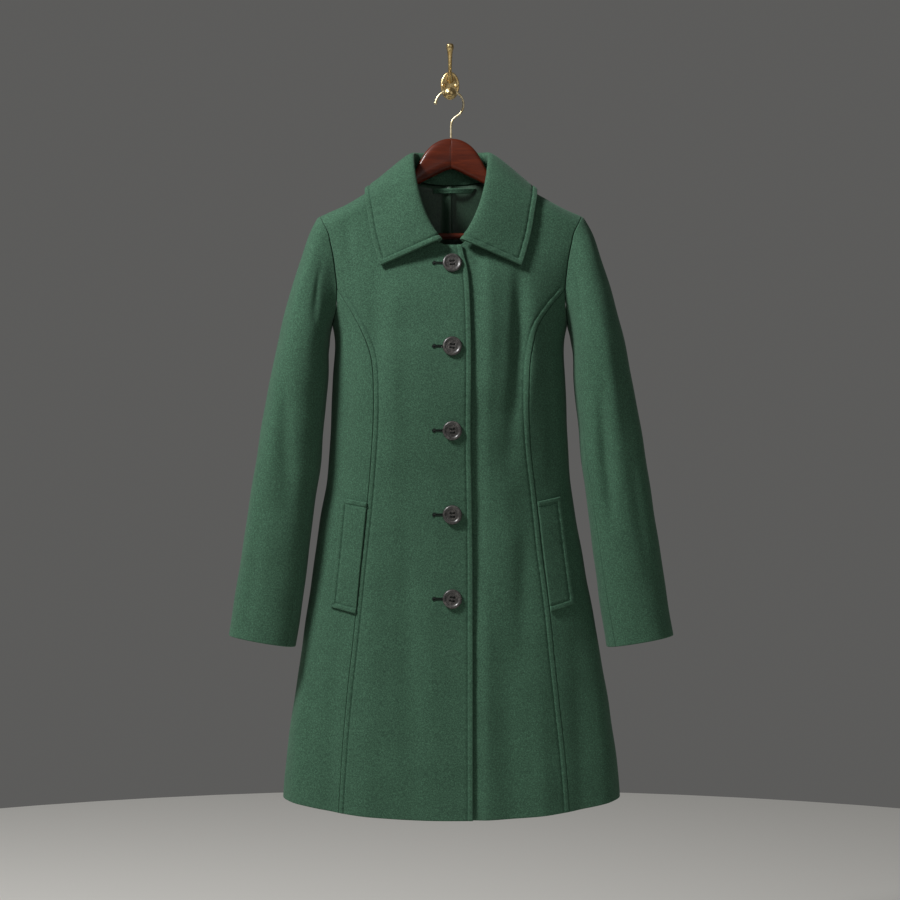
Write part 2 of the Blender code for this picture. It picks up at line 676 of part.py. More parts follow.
def sleeve_form(share, angle, side):
    """The sleeve's outside: share goes from the armhole to the cuff, angle round it from its outermost line.
    Ovals fan out from the armhole about the underarm, and then run down the arm."""
    share, angle = np.broadcast_arrays(np.asarray(share, float), np.asarray(angle, float))
    columns = np.stack([SLEEVE[name] for name in SLEEVE.dtype.names], -1)
    section = along(columns, share)
    out, out_height, inner, inner_height, front, back = np.moveaxis(section, -1, 0)
    inner = inner + (half_width(UNDERARM, side) - SLEEVE["in_"][0]) * (1 - smooth_step(share, 0, SLEEVE_SETTLED))
    across, forward = oval(angle, SLEEVE_POWER)
    x = CENTRE + side * ((out + inner) / 2 + (out - inner) / 2 * across)
    height = (out_height + inner_height) / 2 + (out_height - inner_height) / 2 * across
    drift = smooth_step(share, *SLEEVE_DRIFT)
    ends_y = RIDGE_Y * (1 - drift) + (front + back) / 2 * drift
    y = ends_y + np.where(forward >= 0, front - ends_y, ends_y - back) * forward
    free = np.stack([x, y, height], -1)
    places = armhole_ring(angle, side)
    at_armhole = coat_form(places[..., 0], places[..., 1])
    settled = (1 - (1 - np.clip(share / SLEEVE_SETTLED, 0, 1)) ** 2)[..., None]
    return at_armhole * (1 - settled) + free * settled


def sleeve_normals(share, angle, side):
    before, after = np.clip(share - SLEEVE_STEP, 0, 1), np.clip(share + SLEEVE_STEP, 0, 1)
    down = sleeve_form(after, angle, side) - sleeve_form(before, angle, side)
    around = sleeve_form(share, angle + SLEEVE_STEP, side) - sleeve_form(share, angle - SLEEVE_STEP, side)
    return unit(np.cross(around, down)) * side


def sleeve_piece(name, side, angles, first_turn, last_turn):
    """A sleeve piece between two seams, which turn by the given angles on the way to the cuff. Its columns start
    at the armhole's points. At the top, where it turns down from the body, its edge is mitred."""
    shares = row_shares(SLEEVE_ROWS, SLEEVE_CROWDING)[:, None]
    spread = ((angles - angles[0]) / (angles[-1] - angles[0]))[None, :]
    turned = angles[None, :] + shares * (first_turn * (1 - spread) + last_turn * spread)
    turned[:, 0] += SLEEVE_SEAM_GAP
    turned[:, -1] -= SLEEVE_SEAM_GAP
    outside = sleeve_form(shares, turned, side)
    outside[0] += SLEEVE_START * unit(outside[1] - outside[0])
    normals = sleeve_normals(shares, turned, side)
    places = armhole_ring(turned[0], side)
    body_normal = form_normals(places[:, 0], places[:, 1])
    own = smooth_step(1 - np.cos(turned[0]), *MITRE_FADE)[:, None]
    normals[0] = unit(own * normals[0] + (1 - own) * body_normal)
    return wall(name, outside, outside - CLOTH * normals, "wool_melton")


def make_sleeves():
    around = np.concatenate([ARMHOLE_ANGLES_BACK[:0:-1], ARMHOLE_ANGLES_FRONT, ARMHOLE_ANGLES_LOW[1:]])
    front_seam, back_seam = around[-2], ARMHOLE_ANGLES_BACK[BACK_SEAM_POINT]
    upper = around[(around >= back_seam) & (around <= front_seam)]
    under = np.concatenate([around[-2:], around[1:][around[1:] <= back_seam] + 2 * np.pi])
    front_turn, back_turn = np.radians(FRONT_SEAM_TURN), np.radians(BACK_SEAM_TURN)
    for side in (RIGHT, LEFT):
        sleeve_piece(f"sleeve_upper_{side_name(side)}", side, upper, back_turn, front_turn)
        sleeve_piece(f"sleeve_under_{side_name(side)}", side, under, front_turn, back_turn)


# ---------------------------------------------------------------- collar
COLLAR_COLUMNS, STAND_ROWS, FALL_ROWS = 26, 3, 6


def collar_lines(shares):
    """The neck line, roll line and outer edge of the collar's middle layer, from its right end to its left."""
    neck, roll, edge = [], [], []
    for station, row in enumerate(COLLAR):
        behind = station > SHOULDER_STATION
        at_neck = form_place(CENTRE + row["neck"], row["neck_height"], behind)
        at_edge = form_place(CENTRE + row["edge"], row["edge_height"], behind)
        neck.append(lifted(at_neck, row["neck_lift"]))
        roll.append((CENTRE + row["roll"], row["roll_y"], row["roll_height"]))
        edge.append(lifted(at_edge, EDGE_LIFT))
    lines = np.stack([neck, roll, edge], 1)
    flipped = lines[:-1] * [-1, 1, 1] + [2 * CENTRE, 0, 0]
    whole = np.concatenate([flipped, lines[::-1]])
    stations = np.linspace(0, 1, len(whole))
    return np.moveaxis(through(stations, whole, np.asarray(shares)), 1, 0)


def collar_form(columns, stand_rows, fall_rows):
    """The collar's middle layer: up the stand, over the roll and down the fall, each a cubic between its ends.
    At the roll both run level, straight out from the neck."""
    neck, roll, edge = collar_lines(np.linspace(0, 1, columns))
    run = np.gradient(roll, axis=0)
    outward = unit(np.stack([-run[:, 1], run[:, 0], np.zeros(columns)], -1))
    outward *= np.sign(np.sum(outward * (roll - [CENTRE, NECK_MIDDLE_Y, 0]), axis=-1, keepdims=True))
    settle = unit(edge - neck)
    rows = []
    for share in np.linspace(0, 1, stand_rows + 1)[:-1]:
        rows.append(cubic(neck, (roll - neck) * STAND_PULL, roll, outward * ROLL_IN, share))
    for share in np.linspace(0, 1, fall_rows + 1):
        rows.append(cubic(roll, outward * ROLL_OUT, edge, settle * EDGE_PULL, share))
    return np.stack(rows, 0)


def cubic(start, start_pull, end, end_pull, share):
    a = share * share * (3 - 2 * share)
    return start * (1 - a) + end * a + share * (1 - share) * ((1 - share) * start_pull - share * end_pull)


def make_collar():
    middle = collar_form(COLLAR_COLUMNS + 1, STAND_ROWS, FALL_ROWS)
    normals = grid_normals(middle)
    if np.dot(normals[-1, COLLAR_COLUMNS // 2], [0, 1, 0]) < 0:
        normals = -normals
    near, far = LAYER_GAP / 2, LAYER_GAP / 2 + COLLAR_CLOTH
    wall("collar_upper", middle + far * normals, middle + near * normals, "wool_melton")
    wall("collar_under", middle - near * normals, middle - far * normals, "wool_melton")


# ---------------------------------------------------------------- what lies on the panels, and the lining
WELT_COLUMNS, WELT_ROWS = 3, 8
LOOP_COLUMNS, LOOP_ROWS = 8, 1
LINING_PLEAT = (14.0, 1.6, 5.0)  # how far the pleat runs in, how steep its fold is, and its depth
LINING_GAP = 0.8
LINING_SLACK, LINING_SLACK_FROM = 2.5, (90.0, 160.0)  # it hangs looser towards the sides
LINING_RAISED = 22.0  # of its hem above the coat's


def make_welts():
    """Each welt is the side front's surface between its four corners, moved out."""
    for side, corners in ((RIGHT, WELT_RIGHT), (LEFT, WELT_LEFT)):
        corners = np.array(corners)
        u = np.linspace(0, 1, WELT_COLUMNS + 1)[None, :, None]
        v = np.linspace(0, 1, WELT_ROWS + 1)[:, None, None]
        top = corners[0] * (1 - u) + corners[1] * u
        bottom = corners[3] * (1 - u) + corners[2] * u
        spread = top * (1 - v) + bottom * v
        places = form_place(CENTRE + side * spread[..., 0], spread[..., 1])
        near = np.full(places.shape[:2], WELT_LIFT)
        wall(f"welt_{side_name(side)}", lifted(places, near + CLOTH), lifted(places, near), "wool_melton")


def lining_sink(x):
    """The lining lies just inside the back. At the centre it rises to the fold of a pleat and drops back."""
    run, steep, depth = LINING_PLEAT
    rise = smooth_step(x, CENTRE - run, CENTRE - steep) * (1 - smooth_step(x, CENTRE, CENTRE + steep))
    slack = LINING_SLACK * smooth_step(np.abs(x - CENTRE), *LINING_SLACK_FROM)
    return CLOTH + LINING_GAP + depth * rise + slack


def make_lining():
    right, left = back_places(RIGHT), back_places(LEFT)
    right[:, 0, 0] += 2 * np.pi
    right[right[..., 0] < 0] += [2 * np.pi, 0]
    pleat = []
    for offset in (-LINING_PLEAT[0], -LINING_PLEAT[1], 0.0, LINING_PLEAT[1]):
        points = coat_form(left[:, 0, 0], left[:, 0, 1])
        places = form_place(CENTRE + offset, points[:, 2], True)
        places[:, 0] = np.where(places[:, 0] < 0, places[:, 0] + 2 * np.pi, places[:, 0])
        pleat.append(places[:, None])
    places = np.concatenate([left[:, :0:-1], *pleat[::-1], right[:, 1:]], axis=1)
    places[-1, :, 1] -= LINING_RAISED
    places = drawn_in(places)
    sink = lining_sink(coat_form(places[..., 0], places[..., 1])[..., 0])
    wall("lining_back", lifted(places, -sink), lifted(places, -sink - SATIN), "satin_lining")


def make_hanging_loop():
    """A strip of the coat's own cloth across the back of the neck, in front of the lining, bowed out a little."""
    x = np.linspace(*LOOP_X, LOOP_COLUMNS + 1)[None, :]
    height = np.linspace(*LOOP_HEIGHTS, LOOP_ROWS + 1)[:, None]
    x, height = np.broadcast_arrays(x, height)
    bow = LOOP_BOW * np.sin(np.pi * (x - LOOP_X[0]) / (LOOP_X[1] - LOOP_X[0]))
    sink = CLOTH + LINING_GAP + SATIN + LYING_GAP + bow
    places = form_place(x, height, True)
    wall("hanging_loop", lifted(places, -sink), lifted(places, -sink - LOOP_CLOTH), "wool_melton")


# ---------------------------------------------------------------- buttons
BUTTON_SIDES = 20


def make_buttons():
    """A turned button with a raised rim, on the right front, facing as the cloth does there."""
    angles = np.linspace(0, 2 * np.pi, BUTTON_SIDES, endpoint=False)
    for number, lift in enumerate(BUTTON_LIFTS, 1):
        place = form_place(BUTTON_X, BUTTON_TOP + (number - 1) * BUTTON_STEP)
        facing = form_normals(place[0], place[1])
        sideways = unit(np.cross([0.0, 0.0, 1.0], facing))
        upwards = np.cross(facing, sideways)
        around = np.cos(angles)[:, None] * sideways + np.sin(angles)[:, None] * upwards
        base = lifted(place, lift)
        rings = [base + (BUTTON_RADIUS - inset) * around + rise * facing for inset, rise in BUTTON_OUTLINE]
        skin(f"button_{number}", np.stack(rings), "horn_button")


# ---------------------------------------------------------------- hanger and wall hook
HANGER_COLUMNS, HANGER_SIDES = 15, 16
WIRE_SIDES, WIRE_STEM_POINTS, WIRE_ARC_POINTS = 8, 12, 26
PLATE_SIDES, PRONG_SIDES, SCREW_SIDES = 36, 14, 12


def make_hanger():
    """Two contoured arms in one piece of wood, its sections ovals across the arm; the bar sits in their lobes."""
    out = along(np.stack([HANGER["out"], HANGER["top"]], -1), np.linspace(0, 1, HANGER_COLUMNS))[:, 0]
    top, bottom, half = (through(HANGER["out"], HANGER[name], out) for name in ("top", "bottom", "half"))
    angle = np.linspace(0, 2 * np.pi, HANGER_SIDES, endpoint=False)[None, :]
    across, forward = oval(angle, HANGER_POWER)
    height = ((top + bottom) / 2)[:, None] + ((top - bottom) / 2)[:, None] * across
    y = (HANGER_CENTRE_Y - HANGER_SWEEP * out)[:, None] - half[:, None] * forward
    x = np.broadcast_to(out[:, None], y.shape)
    left = np.stack([CENTRE + x, y, height], -1)
    right = np.stack([CENTRE - x, y, height], -1)
    arms = skin("hanger_arms", np.concatenate([right[:0:-1], left]), "mahogany")
    bar_y = HANGER_CENTRE_Y - HANGER_SWEEP * BAR_REACH
    socket = round_bar("bar_socket", BAR_REACH, BAR_RADIUS + SEAM_GAP, bar_y)
    cut(arms, socket)
    round_bar("hanger_bar", BAR_REACH - SEAM_GAP, BAR_RADIUS, bar_y)


def round_bar(name, reach, radius, y):
    angle = np.linspace(0, 2 * np.pi, HANGER_SIDES, endpoint=False)
    ring = np.stack([np.zeros(HANGER_SIDES), y + radius * np.cos(angle), BAR_HEIGHT + radius * np.sin(angle)], -1)
    ends = np.stack([ring + [CENTRE - reach, 0, 0], ring + [CENTRE + reach, 0, 0]])
    return skin(name, ends, "mahogany")


def wire_route():
    """The hook's route, in the plane of the hanger: up out of the wood and round to its tip."""
    centre_x, centre_z, radius, first, last = WIRE_ARC
    angles = np.radians(np.linspace(first, last, WIRE_ARC_POINTS))
    arc = np.stack([centre_x + radius * np.cos(angles), centre_z + radius * np.sin(angles)], -1)
    stem = along(np.concatenate([WIRE_STEM, arc[:2]]), np.linspace(0, 1, WIRE_STEM_POINTS))
    return np.concatenate([stem[:-2], arc])


def make_wire():
    """The bent wire hook, with a ball at its tip."""
    route = wire_route()
    forward = unit(np.gradient(route, axis=0))
    sideways = np.stack([-forward[:, 1], forward[:, 0]], -1)
    radii = np.full(len(route), WIRE_RADIUS)
    tip = np.array(WIRE_TIP)
    end, direction, turn = route[-1], forward[-1], sideways[-1]
    route = np.concatenate([route, end + tip[:, :1] * direction])
    sideways = np.concatenate([sideways, np.repeat(turn[None], len(tip), 0)])
    radii = np.concatenate([radii, tip[:, 1]])
    angle = np.linspace(0, 2 * np.pi, WIRE_SIDES, endpoint=False)[None, :]
    reach = radii[:, None] * np.cos(angle)
    x = route[:, :1] + reach * sideways[:, :1]
    height = route[:, 1:] + reach * sideways[:, 1:]
    y = WIRE_Y + radii[:, None] * np.sin(angle)
    skin("hanger_hook", np.stack([x, y, height], -1), "brass")


def make_wall_hook():
    """An oval plate with a rounded edge, and an upper and a lower prong, cast in one."""
    angle = np.linspace(0, 2 * np.pi, PLATE_SIDES, endpoint=False)
    rim = np.stack([PLATE_HALF_WIDTH * np.cos(angle), np.zeros(PLATE_SIDES), PLATE_HALF_HEIGHT * np.sin(angle)], -1)
    layers = [rim * scale - [0, rise * PLATE_THICKNESS, 0] for scale, rise in PLATE_LAYERS]
    plate = skin("wall_hook", np.stack(layers), "brass")
    prongs = []
    for name, table in (("lower_prong", LOWER_PRONG), ("upper_prong", UPPER_PRONG)):
        centres = np.stack([np.zeros(len(table)), table["y"], table["height"]], -1)
        prongs.append(tube(name, centres, table["radius"], "brass", PRONG_SIDES))
    joined(plate, *prongs)
    screw_angle = np.linspace(0, 2 * np.pi, SCREW_SIDES, endpoint=False)
    for number, (x, height) in enumerate(SCREWS, 1):
        ring = np.stack([np.cos(screw_angle), np.zeros(SCREW_SIDES), np.sin(screw_angle)], -1) * SCREW_RADIUS
        head_y = -PLATE_THICKNESS - SEAM_GAP
        rings = [ring * scale + [x, head_y - SCREW_HEIGHT * rise, height] for scale, rise in SCREW_LAYERS]
        skin(f"screw_{number}", np.stack(rings), "brass")


make_body()
make_sleeves()
make_collar()
make_welts()
make_lining()
make_hanging_loop()
make_buttons()
make_hanger()
make_wire()
make_wall_hook()
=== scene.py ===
# %% [markdown]
# # A wool coat on its hanger
#
# A single-breasted, princess-seamed coat of felted wool hangs on a wooden hanger from a brass wall hook. The
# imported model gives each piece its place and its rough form. Here every piece is made again with what the eye
# reads as cloth, horn, wood and brass: folds, rolled edges, sunk stitching, nap, grain and gloss.

import bpy
import numpy as np
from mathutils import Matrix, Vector


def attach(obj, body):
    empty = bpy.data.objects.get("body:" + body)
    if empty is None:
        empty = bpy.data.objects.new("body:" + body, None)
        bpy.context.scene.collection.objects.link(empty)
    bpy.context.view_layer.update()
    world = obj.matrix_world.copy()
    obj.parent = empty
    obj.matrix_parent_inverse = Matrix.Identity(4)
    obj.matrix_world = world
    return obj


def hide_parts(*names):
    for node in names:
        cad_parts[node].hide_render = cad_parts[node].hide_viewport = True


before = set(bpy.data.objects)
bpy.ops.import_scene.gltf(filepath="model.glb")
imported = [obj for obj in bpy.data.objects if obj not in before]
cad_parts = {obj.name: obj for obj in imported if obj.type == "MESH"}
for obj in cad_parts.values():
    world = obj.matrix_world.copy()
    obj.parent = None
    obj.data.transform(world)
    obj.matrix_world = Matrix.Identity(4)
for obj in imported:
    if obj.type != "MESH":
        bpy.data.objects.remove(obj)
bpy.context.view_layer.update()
MM = 0.001  # shapes are worked out in millimetres and become metres in their meshes
print("nodes to dress:", len(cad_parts))

# %% [markdown]
# ## The camera
#
# The photo was taken square to the wall, from about three metres, level with the coat's middle. A long lens
# from there keeps the sleeves and the hem in their true proportion. Its field is 1.296 m wide at the coat's
# front, which an 85 mm lens gives on a 36 mm wide sensor.

# %% Camera
CAMERA_PLACE = (0.0, -3.175, -0.544)
LENS = 85.0

camera = bpy.data.objects.new("camera", bpy.data.cameras.new("camera"))
camera.data.lens = LENS
camera.location = CAMERA_PLACE
camera.rotation_euler = (np.pi / 2, 0, 0)
bpy.context.collection.objects.link(camera)
bpy.context.scene.camera = camera
print("camera at", CAMERA_PLACE)

# %% [markdown]
# ## Light
#
# A large soft lamp stands high on the left and in front, so that each fold has a bright left flank and a dark
# right one, as in the photo. The pale world fills the shadows a little, and a weak lamp on the right keeps the
# far sleeve from going black.

# %% Lamps and world
LAMPS = {  # place, size and power
    "key": ((-1.7, -1.2, 1.5), 0.55, 108.0),
    "fill": ((1.5, -3.0, 0.4), 1.8, 9.0),
}
AIM = (0.0, 0.0, -0.5)
WORLD_LIGHT = 0.12


def linear(hex_colour):
    """The colour of an sRGB hex value in linear light, opaque."""
    srgb = np.array([int(hex_colour[start : start + 2], 16) for start in (1, 3, 5)]) / 255
    light = np.where(srgb <= 0.04045, srgb / 12.92, ((srgb + 0.055) / 1.055) ** 2.4)
    return (*light.tolist(), 1.0)


for name, (place, size, power) in LAMPS.items():
    lamp = bpy.data.objects.new(name, bpy.data.lights.new(name, "AREA"))
    lamp.data.size, lamp.data.energy = size, power
    lamp.location = place
    lamp.rotation_euler = (Vector(AIM) - Vector(place)).to_track_quat("-Z", "Y").to_euler()
    bpy.context.collection.objects.link(lamp)
world = bpy.data.worlds.new("pale_room")
bpy.context.scene.world = world
world.use_nodes = True
world.node_tree.nodes["Background"].inputs["Color"].default_value = linear("#f2f1ee")
world.node_tree.nodes["Background"].inputs["Strength"].default_value = WORLD_LIGHT
bpy.context.scene.view_settings.view_transform = "Standard"
print("lamps:", list(LAMPS))

# %% [markdown]
# ## One function for nodes, one for meshes
#
# A finish is a small tree of nodes, and one function adds any node with its settings and links. A shape is an
# array of points on a grid, and one function puts such arrays into a mesh, turned outwards by the sign of its
# volume.

# %% Nodes
def add_node(tree, kind, inputs=None, stops=(), **settings):
    """Adds a node. Settings are its attributes. An input takes a value or a socket, by its name or by its number:
    a Mix node's 0 is the factor, 2 and 3 its numbers, 6 and 7 its colours. stops are a scale's (place, colour)."""
    made = tree.nodes.new("ShaderNode" + kind)
    for name, value in settings.items():
        setattr(made, name, value)
    for name, value in (inputs or {}).items():
        if isinstance(value, bpy.types.NodeSocket):
            tree.links.new(value, made.inputs[name])
        else:
            made.inputs[name].default_value = value
    if stops:
        elements = made.color_ramp.elements
        for _ in stops[2:]:
            elements.new(0.5)
        for element, (place, colour) in zip(elements, stops):
            element.position, element.color = place, linear(colour)
    return made


def new_finish(name, **values):
    """A material with one Principled shader, and its values that are the same all over."""
    finish = bpy.data.materials.new(name)
    finish.use_nodes = True
    shader = finish.node_tree.nodes["Principled BSDF"]
    for value_name, value in values.items():
        shader.inputs[value_name.replace("_", " ")].default_value = value
    return finish, finish.node_tree, shader


print("nodes ready")

# %% Meshes
def outward(points, faces):
    """Faces turned so that the volume they close is positive."""
    volume = 0.0
    for group in faces:
        for corner in range(1, group.shape[1] - 1):
            a, b, c = points[group[:, 0]], points[group[:, corner]], points[group[:, corner + 1]]
            volume += np.sum(a * np.cross(b, c))
    return faces if volume > 0 else [group[:, ::-1] for group in faces]


def make_object(name, points, faces, finish):
    """An object from points in millimetres and groups of faces, each group an array of corner numbers."""
    points = np.asarray(points, float).reshape(-1, 3)
    faces = outward(points, [np.asarray(group) for group in faces])
    sizes = np.concatenate([np.full(len(group), group.shape[1]) for group in faces])
    corners = np.concatenate([group.ravel() for group in faces])
    mesh = bpy.data.meshes.new(name)
    mesh.vertices.add(len(points))
    mesh.vertices.foreach_set("co", (points * MM).ravel())
    mesh.loops.add(len(corners))
    mesh.loops.foreach_set("vertex_index", corners.astype(np.int32))
    mesh.polygons.add(len(sizes))
    mesh.polygons.foreach_set("loop_start", (np.cumsum(sizes) - sizes).astype(np.int32))
    mesh.update(calc_edges=True)
    mesh.validate()
    mesh.materials.append(finish)
    made = bpy.data.objects.new(name, mesh)
    bpy.context.collection.objects.link(made)
    return made


def make_piece(name, points, faces, finish, slot, replaced=(), marks=None):
    """A finished piece, which rides on the part's one body and stands for the nodes in replaced. marks are values
    at its points that its finish reads."""
    piece = make_object(name, points, faces, finish)
    piece.data.shade_smooth()
    for mark, values in (marks or {}).items():
        piece.data.attributes.new(mark, "FLOAT", "POINT").data.foreach_set("value", values)
    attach(piece, "root")
    if replaced:
        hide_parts(*replaced)
    print(name, "faces", len(piece.data.polygons))
    return piece


def grid_faces(rows, columns, round_columns=False):
    """Quads of a grid of points. A round grid joins its last column to its first."""
    index = np.arange(rows * columns).reshape(rows, columns)
    if round_columns:
        index = np.concatenate([index, index[:, :1]], axis=1)
    return np.stack([index[:-1, :-1], index[:-1, 1:], index[1:, 1:], index[1:, :-1]], -1).reshape(-1, 4)


def skin_faces(rows, columns):
    """Faces of a closed body of rings: its quads, and a face on each end ring."""
    ends = np.array([np.arange(columns)[::-1], np.arange(columns) + (rows - 1) * columns])
    return [grid_faces(rows, columns, True), ends]


def wall_faces(rows, columns):
    """Faces of a closed wall between two grids, the second grid's points after the first's."""
    quads = grid_faces(rows, columns)
    index = np.arange(rows * columns).reshape(rows, columns)
    border = np.concatenate([index[0, :-1], index[:-1, -1], index[-1, :0:-1], index[:0:-1, 0]])
    following, behind = np.roll(border, -1), rows * columns
    rim = np.stack([following, border, border + behind, following + behind], -1)
    return [np.concatenate([quads, quads[:, ::-1] + behind, rim])]


def faces_of_many(faces, count):
    """The faces of one body for count of them, whose points follow one another."""
    shift = np.arange(count)[:, None, None] * (1 + max(group.max() for group in faces))
    return [(shift + group).reshape(-1, group.shape[1]) for group in faces]


def make_rings(name, rings, finish, slot, replaced=()):
    """A piece that is a closed body of rings."""
    return make_piece(name, rings, skin_faces(*rings.shape[:2]), finish, slot, replaced)


def full_turn(count):
    """Angles at even steps once round."""
    return np.linspace(0, 2 * np.pi, count, endpoint=False)


print("meshes ready")

# %% [markdown]
# ## The floor
#
# A pale plain disc lies below the hem. It is part of the studio and not of the object.

# %% Floor
FLOOR_HEIGHT, FLOOR_RADIUS, FLOOR_THICKNESS = -1420.0, 2300.0, 20.0

angle = full_turn(96)
rim = FLOOR_RADIUS * np.stack([np.cos(angle), np.sin(angle), np.zeros(len(angle))], -1)
floor_rings = np.stack([rim + [0, 0, FLOOR_HEIGHT], rim + [0, 0, FLOOR_HEIGHT - FLOOR_THICKNESS]])
floor_finish = new_finish("painted_floor", Base_Color=linear("#dedcd7"), Roughness=0.9)[0]
floor = make_object("floor", floor_rings, skin_faces(*floor_rings.shape[:2]), floor_finish)
floor.data.shade_flat()
print("floor radius", FLOOR_RADIUS, "mm")

# %% [markdown]
# ## Finish: melton wool
#
# Melton is woven, then fulled and cropped until it is felt. No thread shows. What shows is the mix of dyed
# fibres, darker and lighter by a few shades in flecks of two or three millimetres, and a matt nap that brightens
# at grazing angles. Near every edge and seam the colour is lightened: a painted highlight, as a rolled edge
# catches light. Fibres are 0.02 mm thick, far too fine to draw, so they are drawn as flecks of about a millimetre.

# %% Melton wool
FLECK, FIBRE, CLOUD = 2.0, 0.9, 45.0  # mm across: clumps of fibres, single drawn fibres, and dye shading
FIBRE_SHARE = 0.45  # of the single fibres in the pattern
CLOUD_SHADE = 0.06  # how far the dye shading moves a fibre along the scale of colours
# painted highlight: the colour is lightened within a few mm of every edge and seam
NAP_HEIGHT, EDGE_HIGHLIGHT_REACH, EDGE_HIGHLIGHT = 0.5, 2.2, 0.16  # mm, mm from an edge, and how much of the light colour it gets


def per_metre(millimetres):
    """Noise scale that makes features of this size, in Object coordinates."""
    return 1 / (millimetres * MM)


def wool(name, dark, middle, light):
    """Felted wool: flecks and fibres mixed give the colour and the nap, and a painted highlight lightens its edges."""
    values = {"Roughness": 0.92, "Sheen_Weight": 0.12, "Sheen_Roughness": 0.5, "Sheen_Tint": linear("#b9d3c4")}
    finish, tree, shader = new_finish(name, IOR=1.45, Specular_IOR_Level=0.2, **values)
    place = add_node(tree, "TexCoord").outputs["Object"]
    fleck, fibre, cloud = (
        add_node(tree, "TexNoise", {"Vector": place, "Scale": per_metre(size), "Detail": detail, "Roughness": rough})
        for size, detail, rough in ((FLECK, 3.0, 0.65), (FIBRE, 2.0, 0.7), (CLOUD, 2.0, 0.5))
    )
    mixed = add_node(tree, "Mix", {0: FIBRE_SHARE, 2: fleck.outputs["Fac"], 3: fibre.outputs["Fac"]})
    dyed = {0: cloud.outputs["Fac"], 1: CLOUD_SHADE, 2: -CLOUD_SHADE / 2}
    clouded = add_node(tree, "Math", dyed, operation="MULTIPLY_ADD")
    shade = add_node(tree, "Math", {0: mixed.outputs[0], 1: clouded.outputs[0]}, operation="ADD")
    colour = add_node(tree, "ValToRGB", {"Fac": shade.outputs[0]}, ((0.36, dark), (0.5, middle), (0.64, light)))
    edge = add_node(tree, "Attribute", attribute_name="edge")
    # painted highlight: lightens the colour towards every edge and seam, as a rolled edge catches light
    edge_highlight = add_node(tree, "MapRange", {"Value": edge.outputs["Fac"], 1: 0.0, 2: EDGE_HIGHLIGHT_REACH, 3: EDGE_HIGHLIGHT, 4: 0.0})
    paler = add_node(tree, "Mix", {0: edge_highlight.outputs[0], 6: colour.outputs[0], 7: linear(light)}, data_type="RGBA")
    tree.links.new(paler.outputs[2], shader.inputs["Base Color"])
    nap = add_node(tree, "Bump", {"Height": mixed.outputs[0], "Strength": 0.55, "Distance": NAP_HEIGHT * MM})
    tree.links.new(nap.outputs["Normal"], shader.inputs["Normal"])
    return finish


melton = wool("melton_wool_fulled_dyed_green", "#2a4235", "#375543", "#486d57")
print(melton.name)

# %% [markdown]
# ## The other finishes
#
# Satin floats its warp on the face, so the lining is smooth and has a soft streak of light. The buttons are
# turned and polished like horn: dark brown grey with cloudy veins under a hard gloss. The thread is polyester,
# spun from fine fibres and dyed to match the cloth. The hanger is red-brown wood with long grain along its
# arms under a thick gloss varnish, so a coat layer carries the highlights and the wood below stays soft. The
# wall hook is cast brass, polished by hand, and the hanger's hook is drawn wire with a paler plating.
#
# Each of them is a noise, drawn out where the real thing has a direction, that gives the colour and also the
# relief and the gloss, so one function makes them all.

# %% Satin, horn, thread, wood and brass
WARP, VEIN, PLY = 0.5, 5.0, 0.4  # mm: satin's warp, drawn coarser than its 0.1 mm, horn veins, and spun fibres
GRAIN_WIDTH, GRAIN_LENGTH, BAND = 1.6, 60.0, 9.0  # mm, in the wood
RIPPLE = 7.0  # mm, in hand-polished brass


def patterned(name, noises, stops, drawn=(1.0, 1.0, 1.0), relief=None, gloss=None, **values):
    """A finish whose colour follows a noise, or the mean of two. relief, a bump's strength and its height in mm,
    and gloss, the roughness at the noise's low and high end, follow the first one."""
    finish, tree, shader = new_finish(name, **values)
    place = add_node(tree, "TexCoord").outputs["Object"]
    place = add_node(tree, "Mapping", {"Vector": place, "Scale": drawn}).outputs[0]
    fields = [add_node(tree, "TexNoise", {"Vector": place, **noise}).outputs["Fac"] for noise in noises]
    mixed = add_node(tree, "Mix", {0: 0.5, 2: fields[0], 3: fields[-1]}).outputs[0]
    tree.links.new(add_node(tree, "ValToRGB", {"Fac": mixed}, stops).outputs[0], shader.inputs["Base Color"])
    if relief:
        bump = {"Height": fields[0], "Strength": relief[0], "Distance": relief[1] * MM}
        tree.links.new(add_node(tree, "Bump", bump).outputs[0], shader.inputs["Normal"])
    if gloss:
        rough = add_node(tree, "MapRange", {"Value": fields[0], 3: gloss[0], 4: gloss[1]})
        tree.links.new(rough.outputs[0], shader.inputs["Roughness"])
    print(name)
    return finish


def thread(name, *colours):
    """Spun thread, dull, in two close colours."""
    ply, stops = {"Scale": per_metre(PLY), "Detail": 2.0}, tuple(zip((0.35, 0.65), colours))
    return patterned(name, [ply], stops, Roughness=0.8, Sheen_Weight=0.04, IOR=1.5, Specular_IOR_Level=0.15)


def polished_brass(name, dull, bright, roughness):
    """Metal with a slight ripple, which is also where it is duller."""
    ripple, gloss = {"Scale": per_metre(RIPPLE), "Detail": 3.0}, (roughness * 0.7, roughness * 1.5)
    return patterned(name, [ripple], ((0.3, dull), (0.7, bright)), relief=(0.1, 0.2), gloss=gloss, Metallic=1.0)


